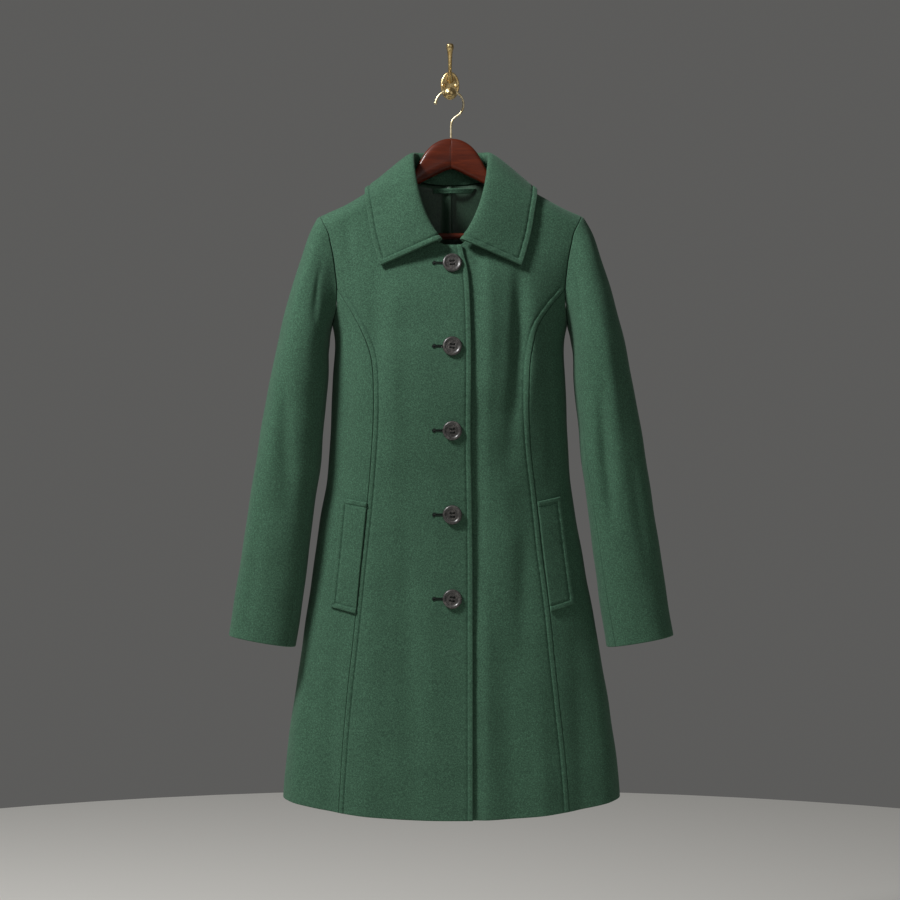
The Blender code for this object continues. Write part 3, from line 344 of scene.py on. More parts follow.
lining_satin = patterned(
    "satin_woven_dyed_dark_green",
    [{"Scale": per_metre(WARP), "Detail": 2.0}],
    ((0.3, "#1a3024"), (0.75, "#36533f")),
    (1.0, 1.0, 0.06),
    (0.25, 0.1),
    Roughness=0.42, Sheen_Weight=0.15, IOR=1.5,
)
button_horn = patterned(
    "horn_turned_polished",
    [{"Scale": per_metre(VEIN), "Detail": 4.0, "Distortion": 1.4}],
    ((0.3, "#232120"), (0.55, "#3b3937"), (0.75, "#5d5a55")),
    gloss=(0.3, 0.5),
    Coat_Weight=0.25, Coat_Roughness=0.2, IOR=1.54,
)
green_thread = thread("polyester_thread_green", "#223f30", "#3d6450")
hole_thread = thread("polyester_thread_dark_green", "#14231b", "#22362b")
# dark thread for the buttons' strands; the same finish is the painted shade that fills the buttonhole slits
dark_thread_and_painted_shade = thread("polyester_thread_dark_and_painted_shade", "#080b09", "#151a17")
mahogany = patterned(
    "mahogany_turned_varnished",
    [{"Scale": per_metre(GRAIN_WIDTH), "Detail": 5.0, "Roughness": 0.6}, {"Scale": per_metre(BAND), "Detail": 1.0}],
    ((0.3, "#3f1509"), (0.5, "#4f1c0b"), (0.7, "#632610")),
    (GRAIN_WIDTH / GRAIN_LENGTH, 1.0, 1.0),
    (0.15, 0.1),
    Coat_Weight=0.28, Coat_Roughness=0.16, Roughness=0.5, IOR=1.5, Specular_IOR_Level=0.15,
)
brass = polished_brass("brass_cast_polished", "#b3935c", "#ecd49c", 0.3)
wire_brass = polished_brass("brass_plated_drawn_wire", "#cdb98c", "#f3e6c4", 0.36)

# %% [markdown]
# ## Sizes of the coat
#
# The coat's outside is one smooth form. Tables give its half widths and depths by height, the line of its
# shoulders, and each seam as distances from the centre line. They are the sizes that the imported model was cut
# to, in millimetres, so each piece made here lies on its own solid.

# %% Sizes of the body
CLOTH, SATIN = 3.0, 1.0  # thickness of the melton wool and of the lining
SEAM_GAP, LYING_GAP, LAP_GAP = 0.3, 0.5, 2.2  # at an edge, under a piece that lies on another, between the fronts
CENTRE = 1.5  # x of the coat's centre line
RIDGE_Y = -38.0  # the shoulder seams lie in this plane
SHOULDER_ROLL = 24.0  # height over which the shoulder turns down into front and back
FRONT_POWER, BACK_POWER = 2.3, 2.8  # roundness of the body's section, 2 is an ellipse
RIGHT, LEFT = -1, 1

# height, half width on the right and on the left, y of the centre front and of the centre back
BODY = np.array([
    (-100, 250, 250, -60, -24), (-138, 246, 246, -66, -22), (-200, 233, 233, -80, -14.5), (-245, 214, 214, -92, -11),
    (-310, 189, 188, -108, -8), (-384, 171.5, 167, -120, -7), (-441, 174.5, 168.5, -124, -8.5),
    (-515, 178, 172, -120, -12), (-588, 182.5, 176, -114, -14.5), (-647, 193.5, 184.5, -112, -13),
    (-735, 205.5, 200.5, -113, -9.5), (-824, 218, 216.5, -116, -7.5), (-941, 235.5, 236, -120, -7),
    (-1044, 247, 248.5, -124, -7), (-1080, 249, 250, -125, -7),
])

# the shoulder line and the seams, as rows of (distance from the centre, height)
SHOULDER = np.array(
    [(0, -108), (30, -117), (60, -131), (90, -147), (122, -164), (160, -185), (196, -201), (240, -222)], float
)
SHOULDER_POINT, JUNCTION = (192.5, -200.0), (166.5, -310.0)  # the princess seam starts at the junction
NECK_POINT, NAPE, UNDERARM = 70.0, -153.0, -361.0
NECK_FRONT = np.array(
    [(0, -245.5), (16, -242.5), (30, -226), (42, -208), (52, -188), (60, -168), (66, -151), (69, -141)]
)
NECK_BACK = np.array([(0, NAPE), (25, -152), (45, -148.5), (60, -143)])
ARMHOLE_FRONT = np.array([
    SHOULDER_POINT, (187.5, -211), (180, -226), (176, -243), (172, -262), (169, -284), JUNCTION, (167, -325),
    (169, -342),
])
ARMHOLE_BACK = np.array(
    [SHOULDER_POINT, (186, -215), (181, -235), (178, -260), (175, -285), (172, -310), (170, -337)]
)
# height, and the princess seam's distance from the centre on the right and on the left
PRINCESS = np.array([
    (-342, 146, 140), (-364, 134, 126), (-400, 119.5, 117), (-472, 112.5, 112.5), (-544, 115, 115.5), (-616, 121, 124),
    (-688, 128, 131.5), (-760, 135.5, 141), (-832, 143, 148.5), (-904, 151, 156), (-976, 157, 164),
])
PRINCESS_AT_HEM = {RIGHT: 163.0, LEFT: 171.5}
# height and x of the right front's edge, from the neck down
FRONT_EDGE = np.array([
    (-244, 17), (-262, 20.5), (-277, 24.5), (-299, 27.5), (-328, 29), (-372, 30.3), (-544, 30.3), (-616, 31.7),
    (-702, 33),
])
FRONT_EDGE_AT_HEM = 33.0
UNDER_EDGE = -24.0  # x of the left front's hidden edge
UNDER_LAP = (35.0, 57.0)  # x where the left front starts to come up, and where it is out
HEM_CENTRE, HEM_SIDE, HEM_OUT, HEM_POWER = -1077.0, -1055.0, 248.0, 2.2
print("rows of the body's table:", len(BODY))

# %% Curves
def through(places, values, at):
    """Smooth curve through a table's points: a cubic between each two, its slopes taken from the neighbours."""
    places, values, at = (np.asarray(given, float) for given in (places, values, at))
    if places[0] > places[-1]:
        places, values = places[::-1], values[::-1]
    wide = (...,) + (None,) * (values.ndim - 1)
    step = np.diff(places)
    rise = np.diff(values, axis=0) / step[wide]
    share = (step[1:] / (step[1:] + step[:-1]))[wide]
    slope = np.concatenate([rise[:1], share * rise[:-1] + (1 - share) * rise[1:], rise[-1:]])
    index = np.clip(np.searchsorted(places, at) - 1, 0, len(places) - 2)
    t = np.clip((at - places[index]) / step[index], 0, 1)[wide]
    start = values[index] + (values[index + 1] - values[index]) * t * t * (3 - 2 * t)
    return start + t * (1 - t) * step[index][wide] * ((1 - t) * slope[index] - t * slope[index + 1])


def straight_through(places, rows, at):
    """Rows of a table at some places, on straight lines between its own."""
    return np.stack([np.interp(at, places, column) for column in rows.T], -1)


def lengths_to(points):
    """The length of a line up to each of its points."""
    return np.concatenate([[0], np.cumsum(np.linalg.norm(np.diff(points, axis=0), axis=1))])


def along(points, shares):
    """Points at these shares of the length of a smooth curve through the given points."""
    lengths = lengths_to(points)
    return through(lengths, points, np.asarray(shares) * lengths[-1])


def smooth_step(value, low, high):
    """0 up to low, 1 from high on, and a cubic that starts and ends level between them."""
    t = np.clip((value - low) / (high - low), 0, 1)
    return t * t * (3 - 2 * t)


def signed_power(value, power):
    """The power of a number's size, with the number's sign."""
    return np.sign(value) * np.abs(value) ** power


def unit(vectors):
    """Vectors of length one."""
    return vectors / np.linalg.norm(vectors, axis=-1, keepdims=True)


def normals_of(form, u, v, steps, u_limits=(-np.inf, np.inf), v_limits=(0, 1)):
    """Normals of form(u, v): square to its runs over a small step in u and a small step in v."""
    across = form(np.clip(u + steps[0], *u_limits), v) - form(np.clip(u - steps[0], *u_limits), v)
    down = form(u, np.clip(v + steps[1], *v_limits)) - form(u, np.clip(v - steps[1], *v_limits))
    return unit(np.cross(across, down))


def shoulder_height(x):
    """Height of the shoulder line."""
    return through(*SHOULDER.T, np.abs(x - CENTRE))


def hem_height(x):
    """Height of the hem, which rises to the sides as a power of the distance from the centre."""
    share = np.clip(np.abs(np.asarray(x, float) - CENTRE) / HEM_OUT, 0, 1)
    return HEM_CENTRE + (HEM_SIDE - HEM_CENTRE) * share**HEM_POWER


def half_width(height, side):
    """Half the body's width on one side."""
    right, left = np.moveaxis(through(BODY[:, 0], BODY[:, 1:3], height), -1, 0)
    return np.where(np.asarray(side) < 0, right, left)


print("shoulder at 100 mm out:", shoulder_height(CENTRE + 100.0).round(1))

# %% The form
SETTLING_ROUNDS = 14  # x depends on the height and the height on x, so both are found by repeating
TURN_STEP, PATH_STEP = 0.002, 0.2  # for the form's normals
AXIS_BELOW = 20.0  # mm below a point, where the line lies that its normal points away from


def coat_form(places):
    """The coat's outside at places (turn, path). turn goes round it, 0 at the centre front, a quarter circle at each
    side seam and a half circle at the centre back. path is the way down from the shoulder line, over its roll and
    then straight down. Each section is a superellipse between the half widths and the centre front or back."""
    turn, path = np.moveaxis(np.asarray(places, float), -1, 0)
    roll_end = SHOULDER_ROLL * np.pi / 2
    bend = np.clip(path, 0, roll_end) / SHOULDER_ROLL
    drop = SHOULDER_ROLL * (1 - np.cos(bend)) + np.clip(path - roll_end, 0, None)
    front = np.cos(turn) >= 0
    power = np.where(front, FRONT_POWER, BACK_POWER)
    reach = signed_power(np.sin(turn), 2 / power)
    x = np.full(turn.shape, CENTRE)
    for _ in range(SETTLING_ROUNDS):
        height = shoulder_height(x) - drop
        x = CENTRE + half_width(height, np.sin(turn)) * reach
    centre_front, centre_back = np.moveaxis(through(BODY[:, 0], BODY[:, 3:], height), -1, 0)
    depth = np.where(front, centre_front, centre_back) - RIDGE_Y
    y = RIDGE_Y + depth * np.sin(bend) * np.abs(np.cos(turn)) ** (2 / power)
    return np.stack([x, y, height], -1)


def form_place(x, height, back=False):
    """(turn, path) of the point of the form at this x and height, on its front or back."""
    x, height = np.broadcast_arrays(np.asarray(x, float), np.asarray(height, float))
    power = BACK_POWER if back else FRONT_POWER
    share = np.clip((x - CENTRE) / half_width(height, x - CENTRE), -1, 1)
    turn = np.arcsin(signed_power(share, power / 2))
    if back:
        turn = np.where(x < CENTRE, -np.pi, np.pi) - turn
    drop = np.clip(shoulder_height(x) - height, 0, None)
    bend = np.arccos(np.clip(1 - drop / SHOULDER_ROLL, -1, 1))
    path = np.where(drop < SHOULDER_ROLL, SHOULDER_ROLL * bend, drop + SHOULDER_ROLL * (np.pi / 2 - 1))
    return np.stack([turn, path], -1)


def form_normals(places):
    """Outward normals of the form: they point away from a line through its middle."""

    def form(turn, path):
        return coat_form(np.stack([turn, path], -1))

    normal = normals_of(form, places[..., 0], places[..., 1], (TURN_STEP, PATH_STEP), v_limits=(0, np.inf))
    away = coat_form(places) * [1, 1, 0] - [CENTRE, RIDGE_Y, -AXIS_BELOW]
    return normal * np.sign(np.sum(normal * away, axis=-1, keepdims=True))


def lifted(places, lift):
    """Points of the form at the given places, moved out by lift, or in where it is negative."""
    return coat_form(places) + np.asarray(lift)[..., None] * form_normals(places)


def surface_on(places, lift=None, facing=1):
    """The points and the normals of a piece on the form, as two functions of (u, v), from its places(u, v)."""

    def form(u, v):
        return coat_form(places(u, v)) if lift is None else lifted(places(u, v), lift(u))

    def out_of(u, v):
        return facing * form_normals(places(u, v))

    return form, out_of


print("front at the waist:", coat_form([0.0, 300.0]).round(1))

# %% [markdown]
# ## Where the cloth is cut
#
# Each panel is a four-sided patch of the form. Its place at any point is the mean of its two pairs of edges,
# less what the corners count twice. Because all panels lie on one form, neighbours meet in an even line.

# %% Seam lines
EVEN = np.linspace(0, 1, 400)
SLEEVE_POWER = 2.25  # roundness of the armhole and the sleeve


def side_name(side):
    """The wearer's side, in words."""
    return "right" if side == RIGHT else "left"


def evened(places):
    """A line of form places with its points at even distances."""
    lengths = lengths_to(coat_form(places))
    return straight_through(lengths, places, EVEN * lengths[-1])


def princess_seam(side):
    """The princess seam, from the armhole to the hem."""
    out, foot = PRINCESS[:, 1 if side == RIGHT else 2], PRINCESS_AT_HEM[side]
    line = along(np.array([JUNCTION, *zip(out, PRINCESS[:, 0]), (foot, hem_height(CENTRE + foot))]), EVEN)
    return form_place(CENTRE + side * line[:, 0], line[:, 1])


def hem_between(start, end):
    """Places along the hem between two places, each moved up or down onto it."""
    places = start * (1 - EVEN[:, None]) + end * EVEN[:, None]
    points = coat_form(places)
    return places + np.stack([np.zeros(len(places)), points[:, 2] - hem_height(points[:, 0])], -1)


def oval(angle, power):
    """The two coordinates of a superellipse: 1 at its outermost point and at its foremost."""
    return signed_power(np.cos(angle), 2 / power), signed_power(np.sin(angle), 2 / power)


def armhole_ring(angle, side):
    """Places of the armhole line, by the angle from the shoulder point: over the front at a quarter circle."""
    top, low = shoulder_height(CENTRE + SHOULDER_POINT[0]), UNDERARM
    height = (top + low) / 2 + (top - low) / 2 * oval(angle, SLEEVE_POWER)[0]
    halves = []
    for line, back in ((ARMHOLE_FRONT, False), (ARMHOLE_BACK, True)):
        out, heights = np.append(line, [(half_width(UNDERARM, side), UNDERARM)], axis=0).T
        halves.append(form_place(CENTRE + side * through(heights, out, height), height, back))
    return np.where((np.sin(angle) >= 0)[..., None], *halves)


def neck_and_shoulder(line, side, back, edge_x=None):
    """The top of a front or a back: its neck line and then its shoulder seam."""
    neck = line * [side, 1] + [CENTRE, 0]
    if edge_x is not None:
        neck[0, 0] = edge_x
    neck = along(np.append(neck, [(CENTRE + side * NECK_POINT, shoulder_height(CENTRE + NECK_POINT))], axis=0), EVEN)
    x = CENTRE + side * np.linspace(NECK_POINT, SHOULDER_POINT[0], len(EVEN))[1:]
    return form_place(np.concatenate([neck[:, 0], x]), np.concatenate([neck[:, 1], shoulder_height(x)]), back)


def side_seam(side):
    """The side seam, a quarter circle round the form, from the underarm to the hem."""
    heights = UNDERARM + EVEN * (HEM_SIDE - UNDERARM)
    places = form_place(CENTRE + side * half_width(heights, side), heights)
    places[:, 0] = side * np.pi / 2
    return places


print("princess seam starts at:", coat_form(princess_seam(RIGHT)[0]).round(1))

# %% Patches between four lines
CORNER_FADE = 0.16  # share of a patch's length over which a corner in its top edge dies away
CORNER_SPREAD = 60  # points of the top edge that are averaged for that


def softened(line):
    """A line with its corners averaged away and its ends kept: the mean of its bend over many points."""
    straight = line[0] + (line[-1] - line[0]) * EVEN[:, None]
    bend = np.concatenate([-(line - straight)[::-1], line - straight, -(line - straight)[::-1]])
    window = np.ones(CORNER_SPREAD) / CORNER_SPREAD
    for _ in range(2):
        bend = np.stack([np.convolve(column, window, "same") for column in bend.T], -1)
    return straight + bend[len(line) : 2 * len(line)]


def coons(top, bottom, inner, outer):
    """A patch between four lines of places, as a function of u across it and v down it, each from 0 to 1. Corners
    in its top edge die away down the patch."""
    top, bottom, inner, outer = (evened(line) for line in (top, bottom, inner, outer))
    soft_top = softened(top)

    def places(u, v):
        across, down = np.clip(u, 0, 1), np.clip(v, 0, 1)
        at_top, at_soft_top, at_bottom = (straight_through(EVEN, line, across) for line in (top, soft_top, bottom))
        at_inner, at_outer = (straight_through(EVEN, line, down) for line in (inner, outer))
        u, v = np.asarray(u)[..., None], np.asarray(v)[..., None]
        settled = smooth_step(v, 0, CORNER_FADE)
        at_top = at_top * (1 - settled) + at_soft_top * settled
        corners = (1 - v) * ((1 - u) * top[0] + u * top[-1]) + v * ((1 - u) * bottom[0] + u * bottom[-1])
        return (1 - u) * at_inner + u * at_outer + (1 - v) * at_top + v * at_bottom - corners

    return places


print("corners fade over", CORNER_FADE, "of a patch")

# %% The six panels of the body
ARMHOLE_TURN = np.radians(108.8)  # where the princess seam meets the armhole, as an angle round it


def front_patch(side):
    """From the front edge to the princess seam, which it follows up to the armhole and round it."""
    top_height = NECK_FRONT[0, 1]
    hem_x = FRONT_EDGE_AT_HEM if side == RIGHT else UNDER_EDGE
    heights = top_height + EVEN * (hem_height(hem_x) - top_height)
    edge = through(*FRONT_EDGE.T, heights) if side == RIGHT else np.full(len(EVEN), UNDER_EDGE)
    outer = np.concatenate([armhole_ring(EVEN * ARMHOLE_TURN, side), princess_seam(side)[1:]])
    hem_line = np.linspace(hem_x, CENTRE + side * PRINCESS_AT_HEM[side], len(EVEN))
    top = neck_and_shoulder(NECK_FRONT, side, False, edge[0])
    return coons(top, form_place(hem_line, hem_height(hem_line)), form_place(edge, heights), outer)


def side_front_patch(side):
    """From the princess seam to the side seam, with the armhole's low part as its top."""
    inner, outer = princess_seam(side), side_seam(side)
    top = armhole_ring(ARMHOLE_TURN + EVEN * (np.pi - ARMHOLE_TURN), side)
    return coons(top, hem_between(inner[-1], outer[-1]), inner, outer)


def back_patch(side, raised=0.0):
    """From the centre back to the armhole and side seam. The lining's hem is raised, and with it the lower half of
    its side seam."""
    inner = form_place(CENTRE, NAPE + EVEN * (HEM_CENTRE - NAPE), True)
    inner[:, 0] = side * np.pi
    outer = np.concatenate([armhole_ring(-EVEN * np.pi, side), side_seam(side)[1:]])
    top = neck_and_shoulder(NECK_BACK, side, True)
    top[0, 0] = side * np.pi
    outer[0] = top[-1]
    bottom = hem_between(inner[-1], outer[-1])
    bottom[:, 1] -= raised
    start, end = inner[0, 1], inner[-1, 1]
    inner[:, 1] = start + (inner[:, 1] - start) * (bottom[0, 1] - start) / (end - start)
    outer[:, 1] -= raised * smooth_step(np.linspace(0, 1, len(outer)), 0.5, 1)
    return coons(top, bottom, inner, outer)


print("three patches a side")

# %% [markdown]
# ## Rows and columns where the detail is
#
# A rolled edge, a sunk line of stitching and a soft fold need points at very different distances. So the grid's
# first and last columns lie at fixed distances from the edges, crowded where the edge rolls over and where the
# stitching runs, and the rest are spread evenly. An oblique edge is allowed for by the sine of its angle.

# %% Grids with fixed distances from their edges
FINE = 90  # samples of a piece each way, to measure it
HALF_GAP = 0.03  # mm, half of the gap between two pieces
STITCH_AT = 7.5  # mm from the edge
PLAIN_MARKS = np.array([HALF_GAP, 0.35, 0.8, 1.5, 2.6, 4.4, 7.5, 11.0])
STITCHED_MARKS = np.array([HALF_GAP, 0.35, 0.8, 1.5, 2.6, 4.4, 5.8, 6.7, 7.1, STITCH_AT, 7.9, 8.4, 9.6, 12.0])
LEAST_SINE, SINE_WINDOW = 0.5, 9  # an edge's slant is limited, and averaged over some lines
GRID_ROUNDS = 5  # u depends on v and v on u, so both are found by repeating


def lookup(table, at):
    """Rows of a table at fractional row numbers from 0 to 1, each column by its own."""
    place = np.clip(at, 0, 1) * (len(table) - 1)
    low = np.minimum(place.astype(int), len(table) - 2)
    share = place - low
    return np.take_along_axis(table, low, 0) * (1 - share) + np.take_along_axis(table, low + 1, 0) * share


def measured(points, first_marks, last_marks, step):
    """For each line of points, the parameters of its marks, and how far each lies from the two ends."""
    lengths = np.cumsum(np.linalg.norm(np.diff(points, axis=1), axis=2), axis=1)
    lengths = np.concatenate([np.zeros((len(points), 1)), lengths], axis=1)
    sines = []
    for end, inner in ((0, 1), (-1, -2)):
        border = unit(np.gradient(points[:, end], axis=0))
        sine = np.linalg.norm(np.cross(border, unit(points[:, inner] - points[:, end])), axis=-1)
        padded = np.pad(np.clip(sine, LEAST_SINE, 1), SINE_WINDOW // 2, "edge")
        sines.append(np.convolve(padded, np.ones(SINE_WINDOW) / SINE_WINDOW, "valid")[:, None])
    total, (first_sine, last_sine) = lengths[:, -1:], sines
    share = np.linspace(0, 1, max(3, int(np.max(total) / step)) + 2)[None, 1:-1]
    start, end = first_marks[-1] / first_sine, total - last_marks[-1] / last_sine
    marks = np.concatenate(
        [first_marks / first_sine, start + (end - start) * share, total - last_marks[::-1] / last_sine], axis=1
    )
    even = np.linspace(0, 1, points.shape[1])
    parameters = np.stack([np.interp(mark, length, even) for mark, length in zip(marks, lengths)])
    return parameters, marks * first_sine, (total - marks) * last_sine


def piece_grid(form, across, down, step):
    """Parameters (u, v) of a piece's grid, and the distances of its points from its four edges. across and down
    are the marks at its first and last columns and rows."""
    even = np.linspace(0, 1, FINE)
    sample = form(*np.meshgrid(even, even))
    u_table, from_first, from_last = measured(sample, *across, step)
    v_table, from_top, from_bottom = measured(sample.swapaxes(0, 1), *down, step)
    rows, columns = v_table.shape[1], u_table.shape[1]
    v = np.broadcast_to(np.linspace(0, 1, rows)[:, None], (rows, columns))
    for _ in range(GRID_ROUNDS):
        u = lookup(u_table, v)
        v = lookup(v_table, u.T).T
    distances = {"first": lookup(from_first, v), "last": lookup(from_last, v)}
    distances |= {"top": lookup(from_top, u.T).T, "bottom": lookup(from_bottom, u.T).T}
    return u, v, distances


print("columns crowd at", STITCH_AT, "mm")

# %% [markdown]
# ## Folds
#
# Thick wool makes few, broad folds. Each is given as a line of points down the form, with its depth and
# width there: troughs have negative depths, ridges positive ones. Across it a fold is a bell curve of the
# distance from its line. The front's folds are placed as in the photo, and the back has similar ones. Over
# them lies a faint waviness that any hung cloth has.

# %% Folds of the body
# rows are (height, x, depth, width)
FOLDS_FRONT = [
    [(-270, -108, 0, 12), (-330, -109, -2.2, 13), (-420, -108, -3, 14), (-480, -106, -1.5, 14), (-540, -104, 0, 14)],
    [(-290, -84, 0, 14), (-340, -84, 1.8, 14), (-450, -83, 2.2, 15), (-560, -82, 1, 15), (-620, -80, 0, 15)],
    [(-600, -68, 0, 13), (-700, -64, -2, 15), (-850, -60, -2.8, 17), (-1000, -57, -1.4, 18), (-1090, -55, -0.5, 20)],
    [(-195, -150, 0, 8), (-232, -149, -2.2, 8), (-268, -146, -1.3, 9), (-300, -142, 0, 10)],
    [(-560, -20, 0, 16), (-680, -22, 1, 18), (-840, -26, 1.4, 20), (-1000, -28, 0.8, 22), (-1090, -28, 0.4, 22)],
    [(-610, -110, 0, 14), (-740, -112, 1.6, 18), (-880, -116, 2.2, 20), (-1010, -120, 2.4, 20), (-1090, -122, 2.2, 20)],
    [(-760, -160, 0, 12), (-860, -166, -1.8, 14), (-980, -172, -2.8, 16), (-1090, -176, -3.4, 17)],
    [(-380, -146, 0, 9), (-440, -149, -1.6, 10), (-520, -150, -2, 10), (-600, -152, 0, 12)],
    [(-720, -200, 0, 14), (-860, -212, 2.2, 16), (-1000, -222, 3.2, 17), (-1090, -226, 3.4, 18)],
    [(-250, 57, 0, 13), (-320, 58, 2.2, 13), (-420, 57, 2.4, 14), (-490, 56, 0, 14)],
    [
        (-262, 99, 0, 9), (-315, 101, -6.5, 10), (-380, 101, -9, 11), (-450, 97, -7.2, 12), (-520, 90, -3.2, 13),
        (-600, 84, 0, 14),
    ],
    [(-300, 122, 0, 12), (-360, 121, 1.8, 12), (-440, 119, 2.4, 12), (-520, 114, 0, 14)],
    [(-550, 78, 0, 18), (-620, 80, 2.6, 20), (-700, 84, 2.6, 22), (-780, 86, 0, 22)],
    [(-640, 108, 0, 11), (-720, 107, -2.6, 12), (-800, 105, -2.2, 14), (-870, 100, 0, 14)],
    [(-560, 45, 0, 12), (-640, 46, -1.6, 13), (-720, 52, -1.8, 14), (-800, 60, 0, 16)],
    [(-740, 50, 0, 16), (-850, 48, 2.6, 18), (-1000, 46, 2.2, 20), (-1090, 45, 1.2, 22)],
    [(-780, 84, 0, 15), (-880, 84, -1.6, 16), (-1000, 86, -2.4, 17), (-1090, 88, -2.8, 18)],
    [(-760, 128, 0, 14), (-880, 130, 2, 18), (-1000, 134, 3, 18), (-1090, 138, 3.4, 20)],
    [(-790, 182, 0, 12), (-900, 186, -2, 14), (-1000, 190, -3, 16), (-1090, 194, -3.6, 17)],
    [(-380, 142, 0, 9), (-450, 145, -1.8, 9), (-540, 148, -2.2, 10), (-610, 150, 0, 12)],
    [(-740, 206, 0, 13), (-880, 216, 2, 15), (-1000, 226, 3, 16), (-1090, 230, 3.2, 17)],
]
FOLDS_BACK = [
    [(-260, -120, 0, 12), (-330, -112, -2.4, 13), (-430, -106, -3, 14), (-540, -102, -1, 15), (-600, -100, 0, 15)],
    [(-240, 96, 0, 12), (-320, 104, -2, 13), (-420, 108, -3.2, 14), (-520, 106, -1.4, 15), (-610, 102, 0, 15)],
    [(-300, -70, 0, 18), (-420, -66, 2, 20), (-560, -66, 1.2, 20), (-640, -66, 0, 20)],
    [(-320, 60, 0, 18), (-430, 62, 2.2, 20), (-540, 60, 1.4, 20), (-650, 62, 0, 20)],
    [(-600, -70, 0, 16), (-740, -76, -2.2, 18), (-900, -82, -3.2, 20), (-1090, -88, -3.6, 22)],
    [(-640, 64, 0, 16), (-780, 72, -2.6, 18), (-920, 80, -3.4, 20), (-1090, 86, -3.8, 22)],
    [(-560, -30, 0, 18), (-760, -36, 1.8, 20), (-940, -40, 2.6, 22), (-1090, -42, 3, 24)],
    [(-600, 26, 0, 18), (-790, 32, 2, 20), (-960, 38, 2.6, 22), (-1090, 40, 2.8, 24)],
    [(-660, -134, 0, 16), (-820, -146, 2.4, 18), (-960, -154, 3, 18), (-1090, -160, 3.4, 20)],
    [(-640, 128, 0, 16), (-800, 140, 2.2, 18), (-960, 152, 3.2, 18), (-1090, 158, 3.4, 20)],
    [(-720, -196, 0, 13), (-900, -206, -2.2, 15), (-1090, -214, -3.4, 17)],
    [(-700, 194, 0, 13), (-880, 204, -2.4, 15), (-1090, 212, -3.2, 17)],
]
FOLD_TAIL = 60.0  # mm below a fold's last row over which it still runs on
ARMHOLE_CALM = (2.0, 26.0)  # mm from the armhole over which the folds come in
RING_POINTS, RINGS_PART = 120, 20  # points of the armhole that distances are taken to, some at a time
WAVES = np.array(
    [(0.055, 0.02, 0.031, 0.3), (-0.034, 0.05, 0.052, 1.9), (0.021, 0.03, -0.083, 4.1), (0.093, 0.04, 0.017, 5.2)]
)
WAVE_HEIGHT = 0.2  # mm, each


def waviness(points):
    """A sum of four slow sine waves across space."""
    return WAVE_HEIGHT * np.sin(points @ WAVES[:, :3].T + WAVES[:, 3]).sum(-1)


def fold_height(folds, points, at, tail):
    """Waviness and folds: each fold's depth where it is at, times a bell curve of the distance over its width."""
    total = waviness(points)
    for places, line, depth, width in folds:
        way = np.sign(places[-1] - places[0])
        off = points[..., : line.shape[1]] - through(places, line, at)
        away = np.linalg.norm(off, axis=-1) / through(places, width, at)
        outside = ((at - places[0]) * way < 0) | ((at - places[-1]) * way > tail)
        total = total + np.where(outside, 0, through(places, depth, at)) * np.exp(-(away**2))
    return total


def body_fold(knots, back):
    """Heights, centre line points, depths and widths of one fold."""
    height, x, depth, width = np.array(knots, float).T
    return height, coat_form(form_place(x, height, back))[:, :2], depth, width


def armhole_distance(points):
    """How far points are from the nearer armhole line."""
    nearest = np.full(points.shape[:-1], np.inf)
    for side in (RIGHT, LEFT):
        line = coat_form(armhole_ring(np.linspace(0, 2 * np.pi, RING_POINTS), side))
        for start in range(0, RING_POINTS, RINGS_PART):
            gaps = np.linalg.norm(points[..., None, :] - line[start : start + RINGS_PART], axis=-1)
            nearest = np.minimum(nearest, gaps.min(-1))
    return nearest


BODY_FOLDS = [body_fold(knots, back) for table, back in ((FOLDS_FRONT, False), (FOLDS_BACK, True)) for knots in table]


def body_relief(points):
    """Height of the folds over the form, which come in away from the armholes."""
    folds = fold_height(BODY_FOLDS, points, points[..., 2], FOLD_TAIL)
    return folds * smooth_step(armhole_distance(points), *ARMHOLE_CALM)


print("folds:", len(BODY_FOLDS))

# %% [markdown]
# ## A piece of wool
#
# One function makes every wool piece. It lays a grid on the piece's form, raises it by the folds, rolls its
# edges over, sinks the line of stitching, and closes a wall of the cloth's thickness. Then the thread is laid
# into the groove as single stitches: a tool that only drew a line there would look like a scratch.

# %% Wall of cloth
EDGE_ROLL, ROLL_LIMIT = 1.4, 0.46  # mm, radius of a turned edge, and its most as a share of the thickness
GROOVE_DEPTH, GROOVE_WIDTH = 1.0, 1.4  # mm
TURNED_RAISE, TURNED_STEP = 0.6, (-1.5, 0.5)  # mm, where a turned edge lies double, and where that ends
PUCKER, PUCKER_REACH = 0.28, 9.0  # mm, the ripple that stitching draws into the cloth
PUCKER_WAVES = np.array([(0.21, 0.13, 0.34, 0.0), (-0.15, 0.2, 0.47, 1.3)])
UNSEWN = 60.0  # mm added to the distance of an edge where it isn't stitched
LINE_START, LINE_SLACK = 1.0, (0.1, 0.5)  # mm from a plain edge where a line of thread starts, and its slack
stitch_lines = []


def rolled(distance, thickness):
    """How far a rounded edge lies below the cloth: a quarter circle over the edge's last millimetres."""
    radius = min(EDGE_ROLL, ROLL_LIMIT * thickness)
    inward = np.clip(distance - HALF_GAP, 0, radius)
    return radius - np.sqrt(radius**2 - (radius - inward) ** 2)


def stitched_relief(distance, points):
    """The groove of a row of stitching, the double cloth beyond it, and the ripple along it."""
    groove = -GROOVE_DEPTH * np.exp(-(((distance - STITCH_AT) / GROOVE_WIDTH) ** 2))
    double = TURNED_RAISE * (1 - smooth_step(distance - STITCH_AT, *TURNED_STEP))
    ripple = np.sin(points @ PUCKER_WAVES[:, :3].T + PUCKER_WAVES[:, 3]).sum(-1)
    return groove + double + PUCKER * ripple * np.exp(-(((distance - STITCH_AT) / PUCKER_REACH) ** 2))


